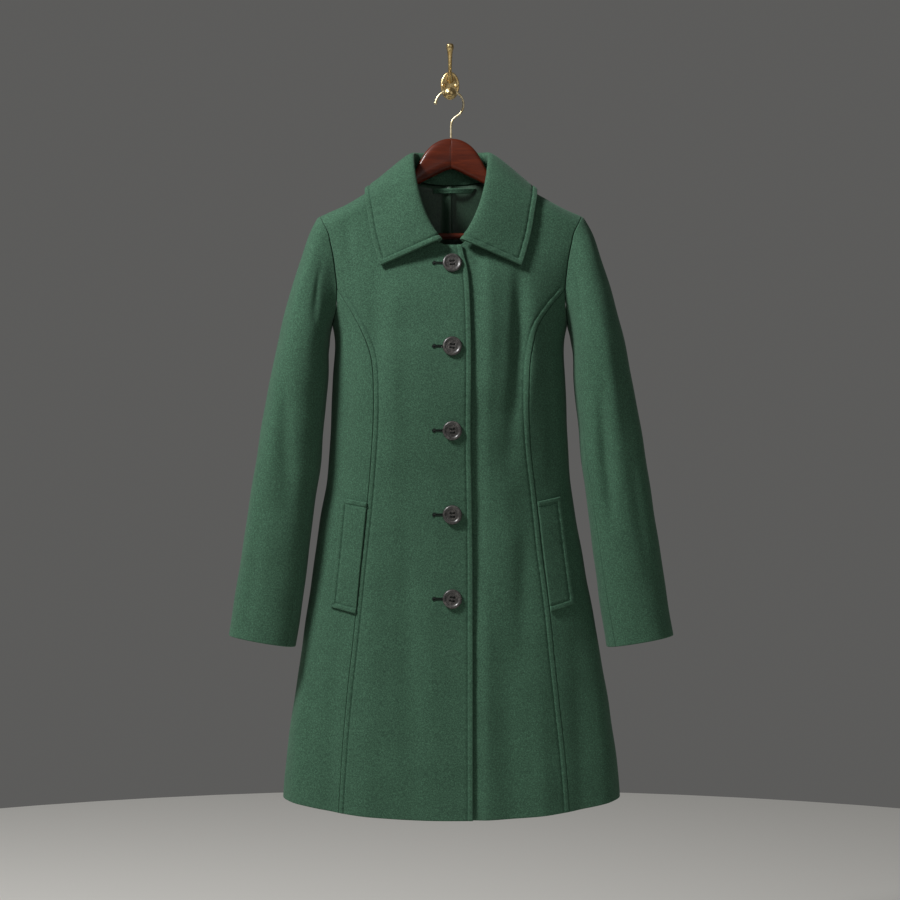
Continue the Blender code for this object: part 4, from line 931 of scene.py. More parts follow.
def keep_stitch_line(which, distances, sewn, outside, normals):
    """Notes the row or column of points at STITCH_AT from one edge, between the other edges' stitching."""
    mark = STITCHED_MARKS.tolist().index(STITCH_AT)
    at = mark if which in ("first", "top") else -1 - mark
    line = (slice(None), at) if which in ("first", "last") else (at, slice(None))
    inside = sewn[which][line] < STITCH_AT + LINE_SLACK[1]
    for other in distances:
        if other != which:
            inside &= distances[other][line] > (STITCH_AT if other in sewn else LINE_START) - LINE_SLACK[0]
    stitch_lines.append((outside[line][inside], normals[line][inside]))


def wool_piece(name, surface, stitched=(), relief=None, step=5.5, thickness=CLOTH, plain_above=0.0):
    """A wall of wool on a surface, given as functions of (u, v) for its points and normals. relief(points, v) raises
    it. stitched names its stitched edges; its last column is stitched only below the height plain_above."""
    form, out_of = surface
    marks = [STITCHED_MARKS if which in stitched else PLAIN_MARKS for which in ("first", "last", "top", "bottom")]
    u, v, distances = piece_grid(form, marks[:2], marks[2:], step)
    points, normals = form(u, v), out_of(u, v)
    raised = np.zeros(u.shape) if relief is None else relief(points, v)
    edge = np.minimum.reduce(list(distances.values()))
    drop = rolled(edge, thickness)
    detail = np.zeros(u.shape)
    if stitched:
        sewn = {which: distances[which] for which in stitched}
        if "last" in stitched:
            sewn["last"] = sewn["last"] + UNSEWN * smooth_step(points[..., 2], plain_above, plain_above + STITCH_AT)
        detail = stitched_relief(np.minimum.reduce(list(sewn.values())), points)
    outside = points + (raised + detail - drop)[..., None] * normals
    inside = points + (raised - thickness + drop)[..., None] * normals
    for which in stitched:
        keep_stitch_line(which, distances, sewn, outside, normals)
    sides = outside[1:, 1:] - outside[:-1, :-1], outside[1:, :-1] - outside[:-1, 1:]
    area = np.linalg.norm(np.cross(*sides), axis=-1).sum() / 2 * MM**2
    print(name, "area", area.round(4), "m2, points", u.shape)
    both, edges = np.stack([outside, inside]), np.tile(edge.ravel(), 2)
    return make_piece(f"{name}_cloth", both, wall_faces(*u.shape), melton, "wool_melton", [name], {"edge": edges})


print("edge roll", EDGE_ROLL, "mm")

# %% Panels of the body
def lap_sink(points):
    """How deep the left front lies below the form: under the right front's edge, coming up beyond it."""
    return (CLOTH + LAP_GAP) * (1 - smooth_step(points[..., 0], *UNDER_LAP))


def on_body(points, v):
    """The relief of a piece that lies on the body."""
    return body_relief(points)


def under_lap(points, v):
    """The relief of the left front."""
    return body_relief(points) - lap_sink(points)


panels = []
for side in (RIGHT, LEFT):
    word = side_name(side)
    stitched, relief = (("first", "last"), on_body) if side == RIGHT else (("last",), under_lap)
    front = surface_on(front_patch(side))
    panels.append(wool_piece(f"front_{word}", front, stitched, relief, plain_above=JUNCTION[1]))
    panels.append(wool_piece(f"side_front_{word}", surface_on(side_front_patch(side)), relief=on_body))
    panels.append(wool_piece(f"back_{word}", surface_on(back_patch(side)), relief=on_body))

# %% [markdown]
# ## Sleeves
#
# A tailored sleeve is cut in two pieces, a wide upper and a narrow under sleeve, which curve forward together.
# Its form is a fan of ovals from the armhole to the cuff. The folds are given by the share of its length and
# the angle round it from its outermost line, and follow the photo: a long soft one by the front seam, a few
# short ones where the arm would bend, and pinches under the armhole.

# %% Sleeve sizes and form
# its sections: distance from the centre and height of the outermost and of the innermost point, y of front and back
SLEEVE = np.array([
    (192.5, -200, 177, -361, -77, -20), (201, -203, 177.8, -364, -80, -18), (209, -211, 178.4, -367, -84, -16),
    (217, -229, 179, -371, -90, -14), (225.5, -251, 179.5, -375, -96, -12), (234, -291, 180, -381, -104, -10),
    (243, -327, 180, -390, -109, -9), (254, -378, 179.8, -404, -112, -9), (264, -432, 179.8, -440, -112, -10),
    (271, -471, 183, -474, -111, -12), (279.5, -518, 187.5, -520, -110, -14), (285, -556, 190.5, -559, -109, -15),
    (294, -617, 199, -621, -107, -17), (307, -698, 209.5, -704, -104, -19), (320, -781, 221, -790, -101, -22),
    (325.5, -815, 227.5, -832, -100, -23),
])
SLEEVE_DRIFT = (0.15, 0.6)  # shares between which its inner and outer lines move forward to its middle
SLEEVE_SETTLED = 0.30  # share of the sleeve's length over which the armhole's shape turns into an oval
SLEEVE_STEP = 0.004  # for its normals
BACK_SEAM_ANGLE, FRONT_SEAM_ANGLE = np.radians(-122), np.radians(162)  # of its two seams at the armhole
SEAM_TURNS = np.radians([-6.0, -24.0])  # how far they turn on the way to the cuff
SLEEVE_TOP = 0.002  # share of its length that it stays clear of the armhole


def sleeve_form(angle, share, side):
    """The sleeve's outside: share goes from the armhole to the cuff, angle round it from its outermost line.
    Ovals fan out from the armhole about the underarm, and then run down the arm."""
    angle, share = np.broadcast_arrays(np.asarray(angle, float), np.asarray(share, float))
    out, out_height, inner, inner_height, front, back = np.moveaxis(along(SLEEVE, share), -1, 0)
    inner = inner + (half_width(UNDERARM, side) - SLEEVE[0, 2]) * (1 - smooth_step(share, 0, SLEEVE_SETTLED))
    across, forward = oval(angle, SLEEVE_POWER)
    x = CENTRE + side * ((out + inner) / 2 + (out - inner) / 2 * across)
    height = (out_height + inner_height) / 2 + (out_height - inner_height) / 2 * across
    drift = smooth_step(share, *SLEEVE_DRIFT)
    ends_y = RIDGE_Y * (1 - drift) + (front + back) / 2 * drift
    y = ends_y + np.where(forward >= 0, front - ends_y, ends_y - back) * forward
    settled = (1 - (1 - np.clip(share / SLEEVE_SETTLED, 0, 1)) ** 2)[..., None]
    return coat_form(armhole_ring(angle, side)) * (1 - settled) + np.stack([x, y, height], -1) * settled


print("sleeve height:", SLEEVE[0, 1] - SLEEVE[-1, 1], "mm")

# %% Sleeve folds
# rows are (share of the length, angle in degrees from the outermost line, depth, width)
SLEEVE_FOLDS = {
    RIGHT: [
        [(0.28, 66, 0, 9), (0.38, 74, -3, 10), (0.5, 86, -4.2, 11), (0.6, 96, -2.6, 11), (0.7, 104, 0, 11)],
        [(0.06, 74, 0, 7), (0.1, 82, -1.8, 7), (0.15, 94, -2.4, 8), (0.2, 106, 0, 9)],
        [(0.04, 45, 0, 10), (0.12, 52, 1.6, 12), (0.22, 56, 1.4, 12), (0.3, 58, 0, 12)],
        [(0.34, 52, 0, 10), (0.44, 56, 2, 12), (0.56, 64, 2.2, 12), (0.68, 70, 0, 12)],
        [(0.4, 30, 0, 12), (0.52, 34, 1.6, 14), (0.66, 38, 1.8, 14), (0.8, 40, 0, 14)],
        [(0.66, 58, 0, 10), (0.76, 60, -1.6, 11), (0.88, 62, -1.8, 12), (1, 62, -1, 12)],
        [(0.2, 180, 0, 10), (0.3, 190, -2, 10), (0.42, 200, -1.4, 10), (0.5, 206, 0, 10)],
        [(0.24, -62, 0, 12), (0.36, -58, -2.4, 12), (0.52, -60, -1.6, 12), (0.62, -60, 0, 12)],
    ],
    LEFT: [
        [(0.34, 98, 0, 8), (0.44, 104, -5, 9), (0.53, 106, -8, 10), (0.62, 108, -6, 10), (0.74, 110, 0, 11)],
        [(0.18, 34, 0, 11), (0.3, 36, 2.2, 13), (0.46, 36, 2.4, 14), (0.62, 38, 1.4, 14), (0.74, 40, 0, 14)],
        [(0.05, 84, 0, 6), (0.09, 92, -2.2, 7), (0.13, 104, -2, 8), (0.18, 114, 0, 8)],
        [(0.52, 66, 0, 10), (0.64, 64, -2.6, 11), (0.76, 62, -2.4, 12), (0.88, 60, 0, 12)],
        [(0.16, 78, 0, 9), (0.28, 82, 2.4, 10), (0.44, 84, 2.8, 11), (0.62, 86, 0, 12)],
        [(0.7, 36, 0, 12), (0.82, 34, -1.4, 13), (0.92, 34, -1.2, 14), (1, 34, -0.8, 14)],
        [(0.2, 184, 0, 10), (0.32, 194, -2.2, 10), (0.44, 204, -1.2, 10), (0.52, 208, 0, 10)],
        [(0.22, -58, 0, 12), (0.34, -60, -2.2, 12), (0.5, -56, -1.8, 12), (0.64, -58, 0, 12)],
    ],
}
SLEEVE_FOLD_TAIL, SLEEVE_CALM = 0.02, 0.04  # shares, as for the folds of the body


def sleeve_fold(knots, side):
    """Shares, centre line points, depths and widths of one fold."""
    share, angle, depth, width = np.array(knots, float).T
    return share, sleeve_form(np.radians(angle), share, side), depth, width


print("sleeve folds:", [len(folds) for folds in SLEEVE_FOLDS.values()])

# %% Sleeve pieces
def sleeve_panel(name, side, angles, turns):
    """The sleeve between two seams, which turn by these angles on the way to the cuff."""
    folds = [sleeve_fold(knots, side) for knots in SLEEVE_FOLDS[side]]

    def share_at(v):  # the way down its length
        return SLEEVE_TOP + (1 - SLEEVE_TOP) * v

    def angle_at(u, v):  # the way round, between the two seams where they have turned to
        return angles[0] + (angles[1] - angles[0]) * u + share_at(v) * (turns[0] * (1 - u) + turns[1] * u)

    def on_side(angle, share):
        return sleeve_form(angle, share, side)

    def form(u, v):
        return on_side(angle_at(u, v), share_at(v))

    def out_of(u, v):
        return normals_of(on_side, angle_at(u, v), share_at(v), (SLEEVE_STEP, SLEEVE_STEP)) * side

    def relief(points, v):
        share = share_at(v)
        return fold_height(folds, points, share, SLEEVE_FOLD_TAIL) * smooth_step(share, 0, SLEEVE_CALM)

    return wool_piece(name, (form, out_of), (), relief)


sleeves = []
upper, under = (BACK_SEAM_ANGLE, FRONT_SEAM_ANGLE), (FRONT_SEAM_ANGLE, BACK_SEAM_ANGLE + 2 * np.pi)
for side in (RIGHT, LEFT):
    sleeves.append(sleeve_panel(f"sleeve_upper_{side_name(side)}", side, upper, SEAM_TURNS))
    sleeves.append(sleeve_panel(f"sleeve_under_{side_name(side)}", side, under, SEAM_TURNS[::-1]))

# %% [markdown]
# ## Collar
#
# The collar stands up from the neck, rolls over and falls onto the shoulders, ending in two points. It is two
# layers sewn round the edge. Its middle surface runs between three lines, the neck, the roll and the outer
# edge, and each layer is that surface moved off to its side.

# %% Collar sizes
# half of it, from its front end to the centre back: out, height and lift off the form where it joins the neck;
# out, y and height of the top of the roll; out and height of the outer edge
COLLAR = np.array([
    (16, -242.5, 3, 15.5, -103, -240, 101.5, -278), (23, -235, 3, 22, -101.5, -231, 105, -268),
    (32.5, -223, 3, 31, -99, -217, 109.5, -253), (43.5, -205, 3, 40, -95.5, -198, 114.5, -235),
    (53, -185.5, 3, 46.5, -91.5, -180, 118.5, -216), (60, -168, 3.4, 51.5, -86, -162, 121.5, -198),
    (66, -151, 4, 55, -78, -143, 123.5, -182), (69, -141, 4.2, 57, -65, -124, 123.5, -170),
    (70, -136.2, 3.6, 57.5, -49, -111.5, 122.5, -164.4), (69, -136.4, 3.4, 57, -37, -108, 120, -166.5),
    (66, -137.2, 3, 55.5, -28.5, -106, 115, -173), (57.5, -142, 2.2, 50, -20, -105, 103, -183),
    (42, -147.5, 0.8, 38, -16, -105, 80, -189.5), (22, -150.8, -0.3, 20, -15, -105, 42, -190.5),
    (0, -152, -0.3, 0, -15, -105, 0, -190.5),
])
SHOULDER_STATION = 8  # the row of COLLAR that lies on the shoulder line
STAND_SHARE = 0.3  # of the way across the collar, at the roll
NECK_PULL, ROLL_IN, ROLL_OUT, EDGE_PULL = 1.1, 18.0, 30.0, 30.0  # how strongly each curve leaves its end
NECK_MIDDLE_Y = -55.0
EDGE_LIFT = 5.0  # of the collar's middle surface off the form, at its outer edge
COLLAR_CLOTH, COLLAR_SPLIT = 2.5, 0.12  # mm: each layer's thickness, and from the middle surface to each layer
COLLAR_STEP, RUN_STEP = 0.003, 0.004  # for its normals, and for the run of its roll
COLLAR_SPACING, COLLAR_WAVES = 4.2, 0.8  # mm between its points, and its share of the cloth's waviness
print("collar stations:", len(COLLAR))

# %% Collar form
def collar_table():
    """The neck line, roll line and outer edge of the collar's middle surface at each station, from its right end."""
    rows = []
    for station, (neck, neck_height, lift, roll, roll_y, roll_height, edge, edge_height) in enumerate(COLLAR):
        behind = station > SHOULDER_STATION
        at_neck = lifted(form_place(CENTRE + neck, neck_height, behind), lift)
        at_edge = lifted(form_place(CENTRE + edge, edge_height, behind), EDGE_LIFT)
        rows.append((at_neck, (CENTRE + roll, roll_y, roll_height), at_edge))
    lines = np.array(rows)
    return np.concatenate([lines[:-1] * [-1, 1, 1] + [2 * CENTRE, 0, 0], lines[::-1]])


COLLAR_TABLE = collar_table()


def collar_lines(shares):
    """The three lines at these shares of the way round."""
    return np.moveaxis(through(np.linspace(0, 1, len(COLLAR_TABLE)), COLLAR_TABLE, shares), -2, 0)


def cubic(start, start_pull, end, end_pull, share):
    """A curve from start to end that leaves and arrives along the two pulls."""
    a = share * share * (3 - 2 * share)
    return start * (1 - a) + end * a + share * (1 - share) * ((1 - share) * start_pull - share * end_pull)


def collar_middle(u, v):
    """The collar's middle surface: u runs round it from its right end, v from the neck over the roll to the edge.
    Each half is a cubic between its two lines, and at the roll both run level."""
    u, v = np.broadcast_arrays(np.asarray(u, float), np.asarray(v, float))
    neck, roll, edge = collar_lines(u)
    run = collar_lines(np.clip(u + RUN_STEP, 0, 1))[1] - collar_lines(np.clip(u - RUN_STEP, 0, 1))[1]
    level = unit(np.stack([-run[..., 1], run[..., 0], np.zeros(u.shape)], -1))
    level = level * np.sign(np.sum(level * (roll - [CENTRE, NECK_MIDDLE_Y, 0]), -1, keepdims=True))
    stand = np.clip(v / STAND_SHARE, 0, 1)[..., None]
    fall = np.clip((v - STAND_SHARE) / (1 - STAND_SHARE), 0, 1)[..., None]
    up = cubic(neck, (roll - neck) * NECK_PULL, roll, level * ROLL_IN, stand)
    down = cubic(roll, level * ROLL_OUT, edge, unit(edge - neck) * EDGE_PULL, fall)
    return np.where(v[..., None] < STAND_SHARE, up, down)


def collar_normals(u, v):
    """Normals of the middle surface, all to the same side of it."""
    return normals_of(collar_middle, u, v, (COLLAR_STEP, COLLAR_STEP), (0, 1))


COLLAR_FACING = np.sign(collar_normals(np.array([0.5]), np.array([0.95]))[0, 1])  # its fall faces the back here
print("collar faces", COLLAR_FACING)

# %% Collar layers
def collar_layer(name, lift, stitched=()):
    """One layer of the collar, whose outside is the middle surface moved off to its side."""
    def out_of(u, v):
        return COLLAR_FACING * collar_normals(u, v)

    def form(u, v):
        return collar_middle(u, v) + lift * out_of(u, v)

    def relief(points, v):
        return COLLAR_WAVES * waviness(points)

    return wool_piece(name, (form, out_of), stitched, relief, COLLAR_SPACING, COLLAR_CLOTH)


collar_upper = collar_layer("collar_upper", COLLAR_SPLIT + COLLAR_CLOTH, ("first", "last", "bottom"))
collar_under = collar_layer("collar_under", -COLLAR_SPLIT)

# %% [markdown]
# ## Pocket welts
#
# A welt is a narrow folded strip over the pocket's mouth, sewn down at its ends. It lies on the side front, so
# its points are the panel's own points, moved out by the cloth below it.

# %% Welts
WELT_CORNERS = {  # (distance from the centre, height), top inner corner first and then round
    RIGHT: np.array([(121.0, -620.0), (157.5, -614.0), (174.0, -772.0), (137.0, -781.0)]),
    LEFT: np.array([(124.5, -619.0), (157.5, -612.0), (178.5, -768.0), (143.0, -778.0)]),
}
WELT_LIFT, WELT_SPACING = 3.5, 5.0  # mm from the form to its top, and between its points


def welt(side):
    """A strip spread between its four corners."""
    corners = WELT_CORNERS[side]

    def places(u, v):
        u, v = np.asarray(u)[..., None], np.asarray(v)[..., None]
        top, bottom = corners[0] * (1 - u) + corners[1] * u, corners[3] * (1 - u) + corners[2] * u
        spread = top * (1 - v) + bottom * v
        return form_place(CENTRE + side * spread[..., 0], spread[..., 1])

    surface = surface_on(places, lambda u: WELT_LIFT)
    return wool_piece(f"welt_{side_name(side)}", surface, ("top", "bottom", "last"), on_body, WELT_SPACING)


welts = [welt(RIGHT), welt(LEFT)]

# %% [markdown]
# ## Lining and hanging loop
#
# Through the neck the back lining shows, with the pleat at its centre that gives the shoulders ease. It lies
# just inside the back and shares its folds. A strip of the coat's cloth is sewn across it as a hanging loop.

# %% Lining
PLEAT_RUN, PLEAT_STEEP, PLEAT_DEPTH = 14.0, 1.6, 5.0  # mm: how far it runs in, how steep its fold is, its depth
LINING_GAP = 0.8
LINING_SLACK, LINING_SLACK_FROM = 2.5, (90.0, 160.0)  # it hangs looser towards the sides
LINING_RAISED = 22.0  # of its hem above the coat's
LINING_ROWS, LINING_COLUMNS = 120, 26  # in each half
HALF_FROM = 16.0  # mm from the centre, where each half starts beside the pleat
PLEAT_OFFSETS = np.array([-13.0, -10.0, -7.0, -5.0, -3.6, -2.6, -1.6, -0.8, 0.0, 0.6, 1.2, 1.8, 3.0, 6.0, 10.0, 13.0])


def lining_sink(x):
    """The lining lies just inside the back. At the centre it rises to the fold of a pleat and drops back."""
    rise = smooth_step(x, CENTRE - PLEAT_RUN, CENTRE - PLEAT_STEEP)
    rise = rise * (1 - smooth_step(x, CENTRE, CENTRE + PLEAT_STEEP))
    slack = LINING_SLACK * smooth_step(np.abs(x - CENTRE), *LINING_SLACK_FROM)
    return CLOTH + LINING_GAP + PLEAT_DEPTH * rise + slack


def lining_half(side):
    """Places of one half of the lining, from the pleat to its side seam."""
    patch = back_patch(side, LINING_RAISED)
    columns, rows = np.meshgrid(np.linspace(0, 1, LINING_COLUMNS), np.linspace(0, 1, LINING_ROWS))
    width = np.linalg.norm(np.diff(coat_form(patch(columns, rows)), axis=1), axis=-1).sum(1)
    start = HALF_FROM / width[:, None]
    return patch(start + (1 - start) * columns, rows)


centre_line = back_patch(LEFT, LINING_RAISED)(np.zeros(LINING_ROWS), np.linspace(0, 1, LINING_ROWS))
pleat = form_place(CENTRE + PLEAT_OFFSETS[None, ::-1], coat_form(centre_line)[:, 2:], True)
lining_places = np.concatenate([lining_half(LEFT)[:, ::-1], pleat, lining_half(RIGHT)], axis=1)
lining_places[..., 0] %= 2 * np.pi  # so that turn doesn't jump at the centre back
back_face, lining_out = coat_form(lining_places), form_normals(lining_places)
outer_face = back_face + (body_relief(back_face) - lining_sink(back_face[..., 0]))[..., None] * lining_out
faces = wall_faces(*back_face.shape[:2])
both = np.stack([outer_face, outer_face - SATIN * lining_out])
lining = make_piece("lining_back_cloth", both, faces, lining_satin, "satin_lining", ["lining_back"])

# %% Hanging loop
LOOP_X, LOOP_HEIGHTS = (-26.0, 38.0), (-155.5, -163.0)
LOOP_SLANTS = (1.0, 5.0)  # mm by which its lower edge is shorter at each end
LOOP_BOW = 5.7  # it clears the fold of the pleat
LOOP_CLOTH = 1.8


def loop_places(u, v):
    """Places on the back between the loop's slanted ends."""
    start, end = LOOP_X[0] + LOOP_SLANTS[0] * v, LOOP_X[1] - LOOP_SLANTS[1] * v
    return form_place(start + (end - start) * u, LOOP_HEIGHTS[0] + (LOOP_HEIGHTS[1] - LOOP_HEIGHTS[0]) * v, True)


def loop_lift(u):
    """Its outside lies on the lining at its ends and bows off it between them, as half a sine wave."""
    return -(CLOTH + LINING_GAP + SATIN + LYING_GAP + LOOP_BOW * np.sin(np.pi * np.clip(u, 0, 1)) + LOOP_CLOTH)


hanging_loop = wool_piece("hanging_loop", surface_on(loop_places, loop_lift, -1), step=2.0, thickness=LOOP_CLOTH)

# %% [markdown]
# ## Thread
#
# Each stitch is a short rounded rod of thread, a few dozen faces, lying half sunk along its groove. All of
# them are worked out in one go from the lines that the pieces noted, a fixed pitch apart.

# %% Topstitching
STITCH_PITCH, STITCH_LENGTH, STITCH_RADIUS, STITCH_SUNK = 3.8, 3.0, 0.3, 0.05  # mm
ROD_SHARES = np.array([0.0, 0.12, 0.88, 1.0])
ROD_SIZES = np.array([0.45, 1.0, 1.0, 0.45])  # its radius at these shares of its length, for tapered ends


def rods(starts, ends, normals, radius, sides=5):
    """Points and faces of short rods with tapered ends: rings about the line from each start to its end."""
    along_rod = unit(ends - starts)
    across = unit(np.cross(normals, along_rod))
    lift = np.cross(along_rod, across)
    angle = full_turn(sides)[:, None]
    centres = starts[:, None] + ROD_SHARES[:, None] * (ends - starts)[:, None]
    around = np.cos(angle) * across[:, None, None] + np.sin(angle) * lift[:, None, None]
    points = centres[:, :, None] + radius * ROD_SIZES[:, None, None] * around
    return points, faces_of_many(skin_faces(len(ROD_SHARES), sides), len(starts))


def stitches_on(lines):
    """Starts, ends and normals of the stitches along lines of (points, normals)."""
    starts, ends, normals = [], [], []
    for points, out in lines:
        lengths = lengths_to(points)
        at = np.arange(STITCH_PITCH, lengths[-1] - STITCH_PITCH, STITCH_PITCH)
        starts.append(straight_through(lengths, points, at))
        ends.append(straight_through(lengths, points, at + STITCH_LENGTH))
        normals.append(straight_through(lengths, out, at))
    return np.concatenate(starts), np.concatenate(ends), unit(np.concatenate(normals))


starts, ends, normals = stitches_on(stitch_lines)
sunk = STITCH_SUNK * normals
stitch_rods = rods(starts - sunk, ends - sunk, normals, STITCH_RADIUS)
make_piece("topstitching", *stitch_rods, green_thread, "wool_melton")
print("stitches:", len(starts))

# %% [markdown]
# ## Buttonholes
#
# A tailored buttonhole has a round eye at one end and a slit, bound all round with close stitches laid side by
# side. A dark plug fills the slit and the eye: painted shade for the shadow that the opening falls into.

# %% Keyhole buttonholes
BUTTON_TOP, BUTTON_STEP, BUTTON_COUNT = -273.5, -121.3, 5  # height of the first, and from each to the next
BUTTONS = BUTTON_TOP + BUTTON_STEP * np.arange(BUTTON_COUNT)
HOLE_EYE_X, HOLE_END_X = -22.6, -10.0  # mm
EYE_RADIUS, SLIT_HALF, BINDING = 2.2, 0.8, 1.5  # mm: the eye, half the slit's width, and the stitches' length
BINDING_RADIUS, BINDING_LIFT = 0.42, 0.35  # mm, at the hole's edge; the stitches' outer ends lie on the cloth
SLIT_TOP, SLIT_DEPTH = 0.02, 1.0  # mm above and below the hole's edge
HOLE_POINTS = 16  # on each of its two sides and round its eye


def keyhole(count):
    """The outline of the hole in its own plane, and the way outwards at each point: out along the slit's lower
    side, round the eye, and back along its upper side."""
    turn = np.radians(np.linspace(-20, -340, count))
    round_eye = np.stack([np.cos(turn), np.sin(turn)], -1)
    lower = np.stack([np.linspace(HOLE_END_X, HOLE_EYE_X + EYE_RADIUS, count), np.full(count, -SLIT_HALF)], -1)
    down = np.tile([0.0, -1.0], (count, 1))
    outline = np.concatenate([lower, [HOLE_EYE_X, 0] + EYE_RADIUS * round_eye, lower[::-1] * [1, -1]])
    return outline, np.concatenate([down, round_eye, -down])


def on_front(x, height, lift):
    """Points on the right front's outside, and the normals there."""
    place = form_place(x, height)
    points, out = coat_form(place), form_normals(place)
    return points + (body_relief(points) + lift)[..., None] * out, out


outline, outwards = keyhole(HOLE_POINTS)
reach = outline + BINDING * outwards
inner, out = on_front(outline[:, 0], BUTTONS[:, None] + outline[:, 1], BINDING_LIFT)
outer, _ = on_front(reach[:, 0], BUTTONS[:, None] + reach[:, 1], 0.0)
binding_rods = rods(*(points.reshape(-1, 3) for points in (inner, outer, out)), BINDING_RADIUS)
make_piece("buttonhole_binding", *binding_rods, hole_thread, "wool_melton")
# painted shade: a dark plug fills each slit and eye, standing for the shadow inside the opening
slit_shade_plugs = np.stack([inner + SLIT_TOP * out, inner - SLIT_DEPTH * out], 1)
slit_faces = faces_of_many(skin_faces(2, len(outline)), BUTTON_COUNT)
make_piece("buttonhole_slits", slit_shade_plugs, slit_faces, dark_thread_and_painted_shade, "wool_melton")

# %% [markdown]
# ## Buttons
#
# The buttons are turned on a lathe: a rounded rim stands around a dished middle with four drilled holes. A
# lathe shape is a profile carried round an axis. The holes are added to it as steep dips in the height, which
# needs a fine grid near the middle, and thread runs through them.

# %% Buttons
BUTTON_X = 3.4
BUTTON_LIFTS = (0.45, 0.35, 0.5, 1.2, 0.7)  # off the form, so that each clears the panel's facets below it
SPIN_MOST, SPIN_CHANGE = 7.0, 2.3  # degrees that a button is turned, and how that changes from one to the next
HOLE_OFFSET, HOLE_RADIUS, HOLE_DEPTH = 2.6, 1.4, 2.2  # mm
HOLE_WALL = (-0.35, 0.2)  # mm in and out of the hole's radius between which its wall falls
# (radius, rise) of the face from its middle to the rim, and of the rings that close its underside
BUTTON_PROFILE = np.array(
    [(0, 2.6), (4, 2.62), (7.5, 2.7), (9.2, 2.95), (10.3, 3.7), (11.4, 4.05), (12.6, 3.85), (13.5, 3.1), (14, 2.2)]
)
BUTTON_UNDER = np.array([(13.9, 1.5), (13.2, 0.7), (11.5, 0.1), (3.0, 0.0)])
FACE_RADII = np.concatenate([np.linspace(0.05, 8, 44), np.linspace(8.3, 13.6, 20), [13.85, 14.0]])
STRANDS, STRAND_RADIUS, STRAND_REACH = (-0.42, 0.0, 0.42), 0.33, 0.5  # mm: side by side, and beyond the holes
STRAND_RISE, MIDDLE_RISE = 3.0, 0.1  # mm above the button's base, and how much higher the middle strand lies
BUTTON_ROUND, STRAND_ROUND = 96, 8  # points round each


def button_rings():
    """Rings from the middle of the face over the rim and under, as (x, y, rise): the rise is the turned profile's
    at that radius, less the depth of a hole where one lies there."""
    face = np.stack([FACE_RADII, through(*BUTTON_PROFILE.T, FACE_RADII)], -1)
    radius, rise = np.concatenate([face, BUTTON_UNDER]).T[..., None]
    angle = full_turn(BUTTON_ROUND)
    x, y = radius * np.cos(angle), radius * np.sin(angle)
    away = np.hypot(np.abs(x) - HOLE_OFFSET, np.abs(y) - HOLE_OFFSET)
    drilled = 1 - smooth_step(away, HOLE_RADIUS + HOLE_WALL[0], HOLE_RADIUS + HOLE_WALL[1])
    drilled[len(FACE_RADII) - 2 :] = 0
    return np.stack([x, y, rise - HOLE_DEPTH * drilled], -1)


rings = button_rings()
strands = []
for number, height in enumerate(BUTTONS, 1):
    place = form_place(BUTTON_X, height)
    base, out = coat_form(place), form_normals(place)
    base = base + (body_relief(base) + BUTTON_LIFTS[number - 1]) * out
    sideways = unit(np.cross([0.0, 0.0, 1.0], out))
    spin = np.radians(SPIN_MOST * np.sin(SPIN_CHANGE * number))
    turned = np.cos(spin) * sideways + np.sin(spin) * np.cross(out, sideways)
    axes = np.stack([turned, np.cross(out, turned), out])
    make_rings(f"button_{number}_turned", base + rings @ axes, button_horn, "horn_button", [f"button_{number}"])
    for row in (-HOLE_OFFSET, HOLE_OFFSET):
        for offset in STRANDS:
            end = np.array([HOLE_OFFSET + STRAND_REACH, row + offset, STRAND_RISE + MIDDLE_RISE * (offset == 0)])
            strands.append((base + end * [-1, 1, 1] @ axes, base + end @ axes, out))
strand_rods = rods(*np.array(strands).swapaxes(0, 1), STRAND_RADIUS, STRAND_ROUND)
make_piece("button_thread", *strand_rods, dark_thread_and_painted_shade, "horn_button")

# %% [markdown]
# ## Hanger
#
# The hanger's arms are turned and bent wood, joined at the middle. Each section is a rounded oval, given by a
# table of its top, bottom and thickness along the arm. A fine groove marks the joint.

# %% Hanger arms and bar
# an arm's sections: distance from the centre, height of the top and of the bottom, half the thickness
HANGER = np.array([
    (0, -84, -129, 8), (9, -85, -132, 8), (20, -89, -137.5, 8), (30, -96, -142.5, 8), (38, -105, -146.5, 8),
    (46, -118, -151, 8), (53, -130.5, -155, 8), (62, -139.5, -161, 8), (80, -150, -172, 9), (105, -163.5, -187, 10.5),
    (130, -177.5, -204, 12), (148, -187.5, -236, 12.5), (163, -196, -244, 12.5), (176, -203, -240, 11.5),
    (184, -210, -228, 7),
])
ARM_STATIONS = np.concatenate([np.linspace(0, 6, 9), np.linspace(8, HANGER[-1, 0], 72)])  # closer at the joint
HANGER_POWER, HANGER_CENTRE_Y = 2.6, -36.0  # roundness of its sections, and the y of its middle
HANGER_SWEEP = 0.09  # the arms come forward by this share of their length
CREASE_DEPTH, CREASE_WIDTH = 0.4, 0.9  # mm, the joint
BAR_HEIGHT, BAR_RADIUS, BAR_REACH, BAR_CLEAR = -230.0, 4.8, 158.0, 0.3
DOME_SHARE = 0.985  # of a quarter circle that a dome turns, so that its last ring keeps some size
ARM_DOME, DOME_RINGS = 4.0, 6  # mm
ARM_ROUND, BAR_ROUND, BAR_RINGS = 56, 40, 24


def round_end(rings, steps, depth):
    """The rings of a body with both its ends closed in a dome."""
    turn = np.linspace(0, np.pi / 2, steps + 1)[1:, None, None]
    caps = []
    for end, beside in ((0, 1), (-1, -2)):
        middle = rings[end].mean(0)
        away = unit(middle - rings[beside].mean(0))
        caps.append(middle + (rings[end] - middle) * np.cos(turn * DOME_SHARE) + depth * np.sin(turn) * away)
    return np.concatenate([caps[0][::-1], rings, caps[1]])


